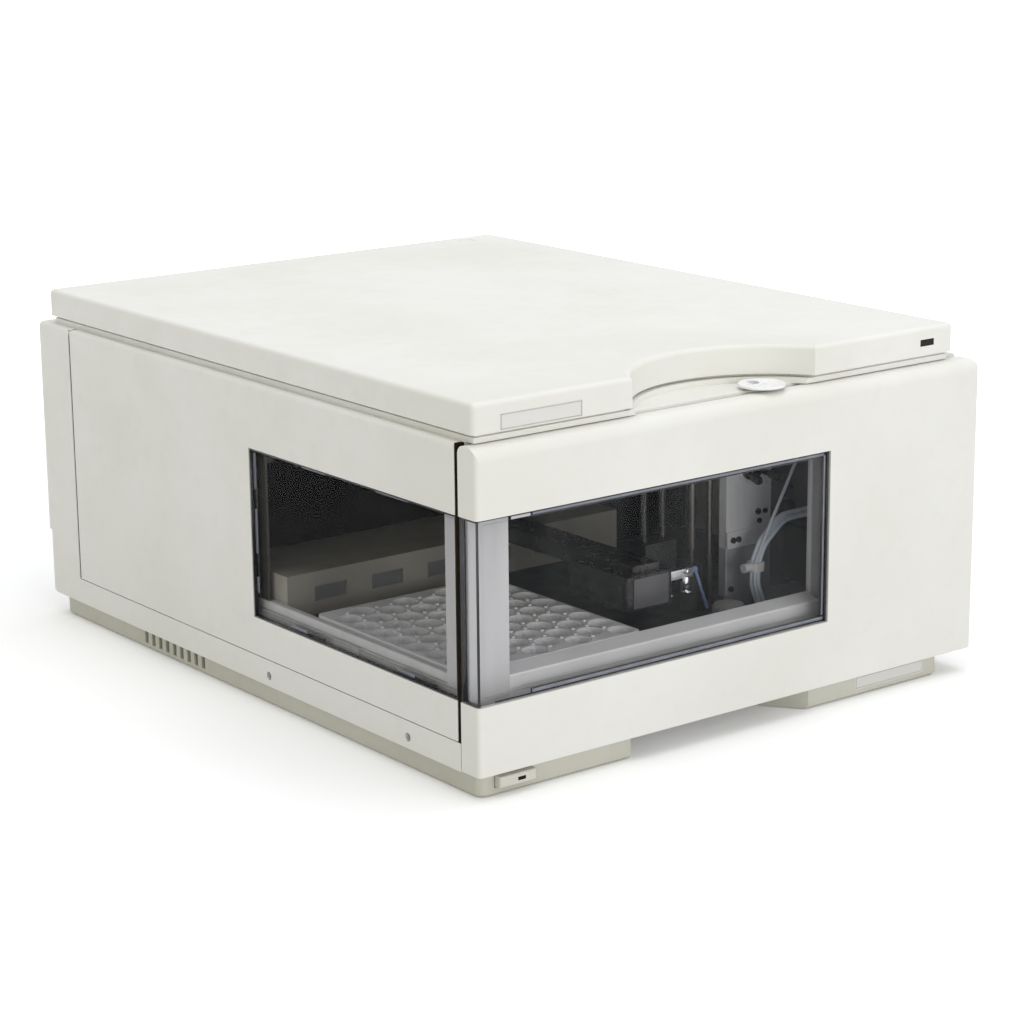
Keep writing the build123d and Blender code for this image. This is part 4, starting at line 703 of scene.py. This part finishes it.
def socket_pins():
    """Three flat pins in the mains inlet, and two rows of pins in each data socket."""
    low, high = corners("power_inlet")
    inlet_x = (low.x + high.x) / 2
    inlet_z = (low.z + high.z) / 2
    # The pins stand a little below the middle of the inlet, the middle one above the other two.
    pin_lift = -1.5
    pin_front, pin_rear = 416.1, 426.4
    pin_half_wide, pin_half_tall = 1.2, 3.2
    bm = bmesh.new()
    for step, lift in ((-7.0, 0.0), (0.0, 3.0), (7.0, 0.0)):
        x = inlet_x + step
        z = inlet_z + lift + pin_lift
        add_block(bm, (x - pin_half_wide, pin_front, z - pin_half_tall),
                  (x + pin_half_wide, pin_rear, z + pin_half_tall), 0.5)
    lower_count, lower_row = 5, 39.6
    upper_count, upper_row = 4, 41.4
    pin_pitch = 2.8
    first_pin = 12.4
    pin_radius = 0.5
    data_front, data_rear = 427.4, 429.6
    for left in sockets_left():
        rows = [(first_pin + count * pin_pitch, lower_row) for count in range(lower_count)]
        # The upper row stands half a pitch to the right.
        rows += [(first_pin + (count + 0.5) * pin_pitch, upper_row) for count in range(upper_count)]
        for step, z in rows:
            add_rod(bm, (left + step, data_front, z), (left + step, data_rear, z), pin_radius, sides=10,
                    edge=0.15)
    piece(bm, "socket_pins", turned_brass, "chassis")


def sockets_left():
    """The left edges of the four data sockets, which stand in a row."""
    first = corners("data_sockets")[0].x
    socket_count = 4
    socket_pitch = 48.0
    return [first + socket_pitch * number for number in range(socket_count)]


def socket_inserts():
    """The dark blocks that hold the pins of the data sockets."""
    step_left, step_right = 9.4, 26.6
    front, rear = 426.0, 427.6
    foot, top = 38.4, 42.6
    bm = bmesh.new()
    for left in sockets_left():
        add_block(bm, (left + step_left, front, foot), (left + step_right, rear, top), 0.3)
    piece(bm, "socket_inserts", dark_peek, "chassis")


def screw_recesses():
    """Crossed recesses in the screws of the rear panel."""
    front, rear = 431.3, 431.75
    half_long, half_wide = 1.9, 0.35
    lower_row, upper_row = 33.4, 159.1
    screws = [(x, lower_row) for x in (24.0, 238.0, 321.0)]
    screws += [(x, upper_row) for x in (24.0, 172.5, 321.0)]
    bm = bmesh.new()
    for x, z in screws:
        for across, up in ((half_long, half_wide), (half_wide, half_long)):
            add_block(bm, (x - across, front, z - up), (x + across, rear, z + up), 0.1)
    piece(bm, "screw_recesses", matt_black, "chassis")


front_pane_flange()
side_pane_flange()
bare_plates()
painted_gap_shade()
painted_slot_shade()
valve_fittings()
panel_details()
arm_front_shade_plate()
gripper_details()
socket_pins()
socket_inserts()
screw_recesses()


# Floor, light and camera

def seen_directly(tree):
    """1 for what the camera sees, also by way of a mirror or a pane, and 0 for what only gives light."""
    path = add(tree, "ShaderNodeLightPath")
    seen = path["Is Camera Ray"]
    for way in ("Is Glossy Ray", "Is Transmission Ray"):
        seen = add(tree, "ShaderNodeMath", {"operation": "MAXIMUM"}, _0=seen, _1=path[way])[0]
    return seen


def pale_floor():
    """A floor that is white away from the cabinet, and takes its shadow under it."""
    half_side = 12.0
    bm = bmesh.new()
    bmesh.ops.create_grid(bm, x_segments=1, y_segments=1, size=half_side)
    mesh = bpy.data.meshes.new("floor")
    bm.to_mesh(mesh)
    bm.free()
    floor = bpy.data.objects.new("floor", mesh)
    scene.collection.objects.link(floor)
    made, tree = blank("pale_floor")
    # To the camera, and in mirrors and panes, the floor turns into an even white backdrop between these
    # distances from the cabinet's middle, in metres. Under the cabinet it keeps the shadow.
    shadow_ends, backdrop_starts = 0.45, 1.1
    glow_in_shadow = 0.12
    seen = seen_directly(tree)
    place = add(tree, "ShaderNodeTexCoord")["Object"]
    away = add(tree, "ShaderNodeVectorMath", {"operation": "LENGTH"}, _0=place)["Value"]
    white = add(tree, "ShaderNodeMapRange", Value=away, From_Min=shadow_ends, From_Max=backdrop_starts,
                To_Min=glow_in_shadow, To_Max=1.0)[0]
    strength = add(tree, "ShaderNodeMath", {"operation": "MULTIPLY"}, _0=seen, _1=white)[0]
    shade = add(tree, "ShaderNodeMix", {"data_type": "RGBA"}, _0=seen, _6=linear("DCDCDC"),
                _7=linear("FFFFFF"))[2]
    matt = add(tree, "ShaderNodeBsdfDiffuse", Color=shade)
    glow = add(tree, "ShaderNodeEmission", Color=linear("FFFFFF"), Strength=strength)
    both = add(tree, "ShaderNodeAddShader", _0=matt[0], _1=glow[0])
    add(tree, "ShaderNodeOutputMaterial", Surface=both[0])
    mesh.materials.append(made)


def white_room():
    """An even white room round the cabinet, which gives less light than it shows."""
    world = bpy.data.worlds.new("studio")
    scene.world = world
    world.use_nodes = True
    tree = world.node_tree
    tree.nodes.clear()
    light_given = 0.62
    plain = add(tree, "ShaderNodeBackground", Color=linear("FFFFFF"), Strength=light_given)
    white = add(tree, "ShaderNodeBackground", Color=linear("FFFFFF"), Strength=1.0)
    both = add(tree, "ShaderNodeMixShader", _0=seen_directly(tree), _1=plain[0], _2=white[0])
    add(tree, "ShaderNodeOutputWorld", Surface=both[0])


def softbox(name, place, size, power, colour):
    """A square lamp at a place in metres, which faces the middle of the cabinet."""
    lamp = bpy.data.lights.new(name, "AREA")
    lamp.shape = "SQUARE"
    lamp.size = size
    lamp.energy = power
    lamp.color = colour
    holder = bpy.data.objects.new(name, lamp)
    cabinet_middle = Vector((0.0, 0.0, 0.1))
    way = cabinet_middle - Vector(place)
    holder.matrix_world = Matrix.Translation(place) @ way.to_track_quat("-Z", "Y").to_matrix().to_4x4()
    scene.collection.objects.link(holder)


def studio_light():
    """A cool light from above, two soft ones in front, the lower of which reaches into the compartment,
    and a weak warm one from the left."""
    white_room()
    cool, neutral, warm = (0.94, 0.97, 1.0), (1.0, 0.99, 0.98), (1.0, 0.96, 0.4)
    softbox("softbox_top", place=(0.2, -0.2, 2.4), size=2.2, power=26.0, colour=cool)
    softbox("softbox_front", place=(0.9, -2.5, 0.85), size=1.5, power=8.0, colour=neutral)
    softbox("softbox_low", place=(-0.6, -2.6, 0.45), size=0.8, power=11.5, colour=neutral)
    softbox("softbox_left", place=(-2.6, -0.4, 1.2), size=1.6, power=3.5, colour=warm)


def photo_camera():
    """The camera that took the photograph, as fitted to the corners of the cabinet."""
    picture_side = 1024
    focal_length = 2753.93
    axis_across, axis_down = 513.78, 519.42
    heading, tilt_down, roll_right = -37.38, 14.67, -0.55
    place = (-0.93181, -1.24096, 0.47877)
    lens = bpy.data.cameras.new("photo_camera")
    lens.sensor_width = 36.0
    lens.lens = focal_length / picture_side * lens.sensor_width
    lens.shift_x = (picture_side / 2 - axis_across) / picture_side
    lens.shift_y = (axis_down - picture_side / 2) / picture_side
    lens.clip_start = 0.05
    lens.clip_end = 50.0
    camera = bpy.data.objects.new("photo_camera", lens)
    turn = Matrix.Rotation(math.radians(heading), 4, "Z")
    tilt = Matrix.Rotation(math.radians(90 - tilt_down), 4, "X")
    roll = Matrix.Rotation(math.radians(roll_right), 4, "Z")
    camera.matrix_world = Matrix.Translation(place) @ turn @ tilt @ roll
    scene.collection.objects.link(camera)
    scene.camera = camera


pale_floor()
studio_light()
photo_camera()
scene.view_settings.view_transform = "Standard"
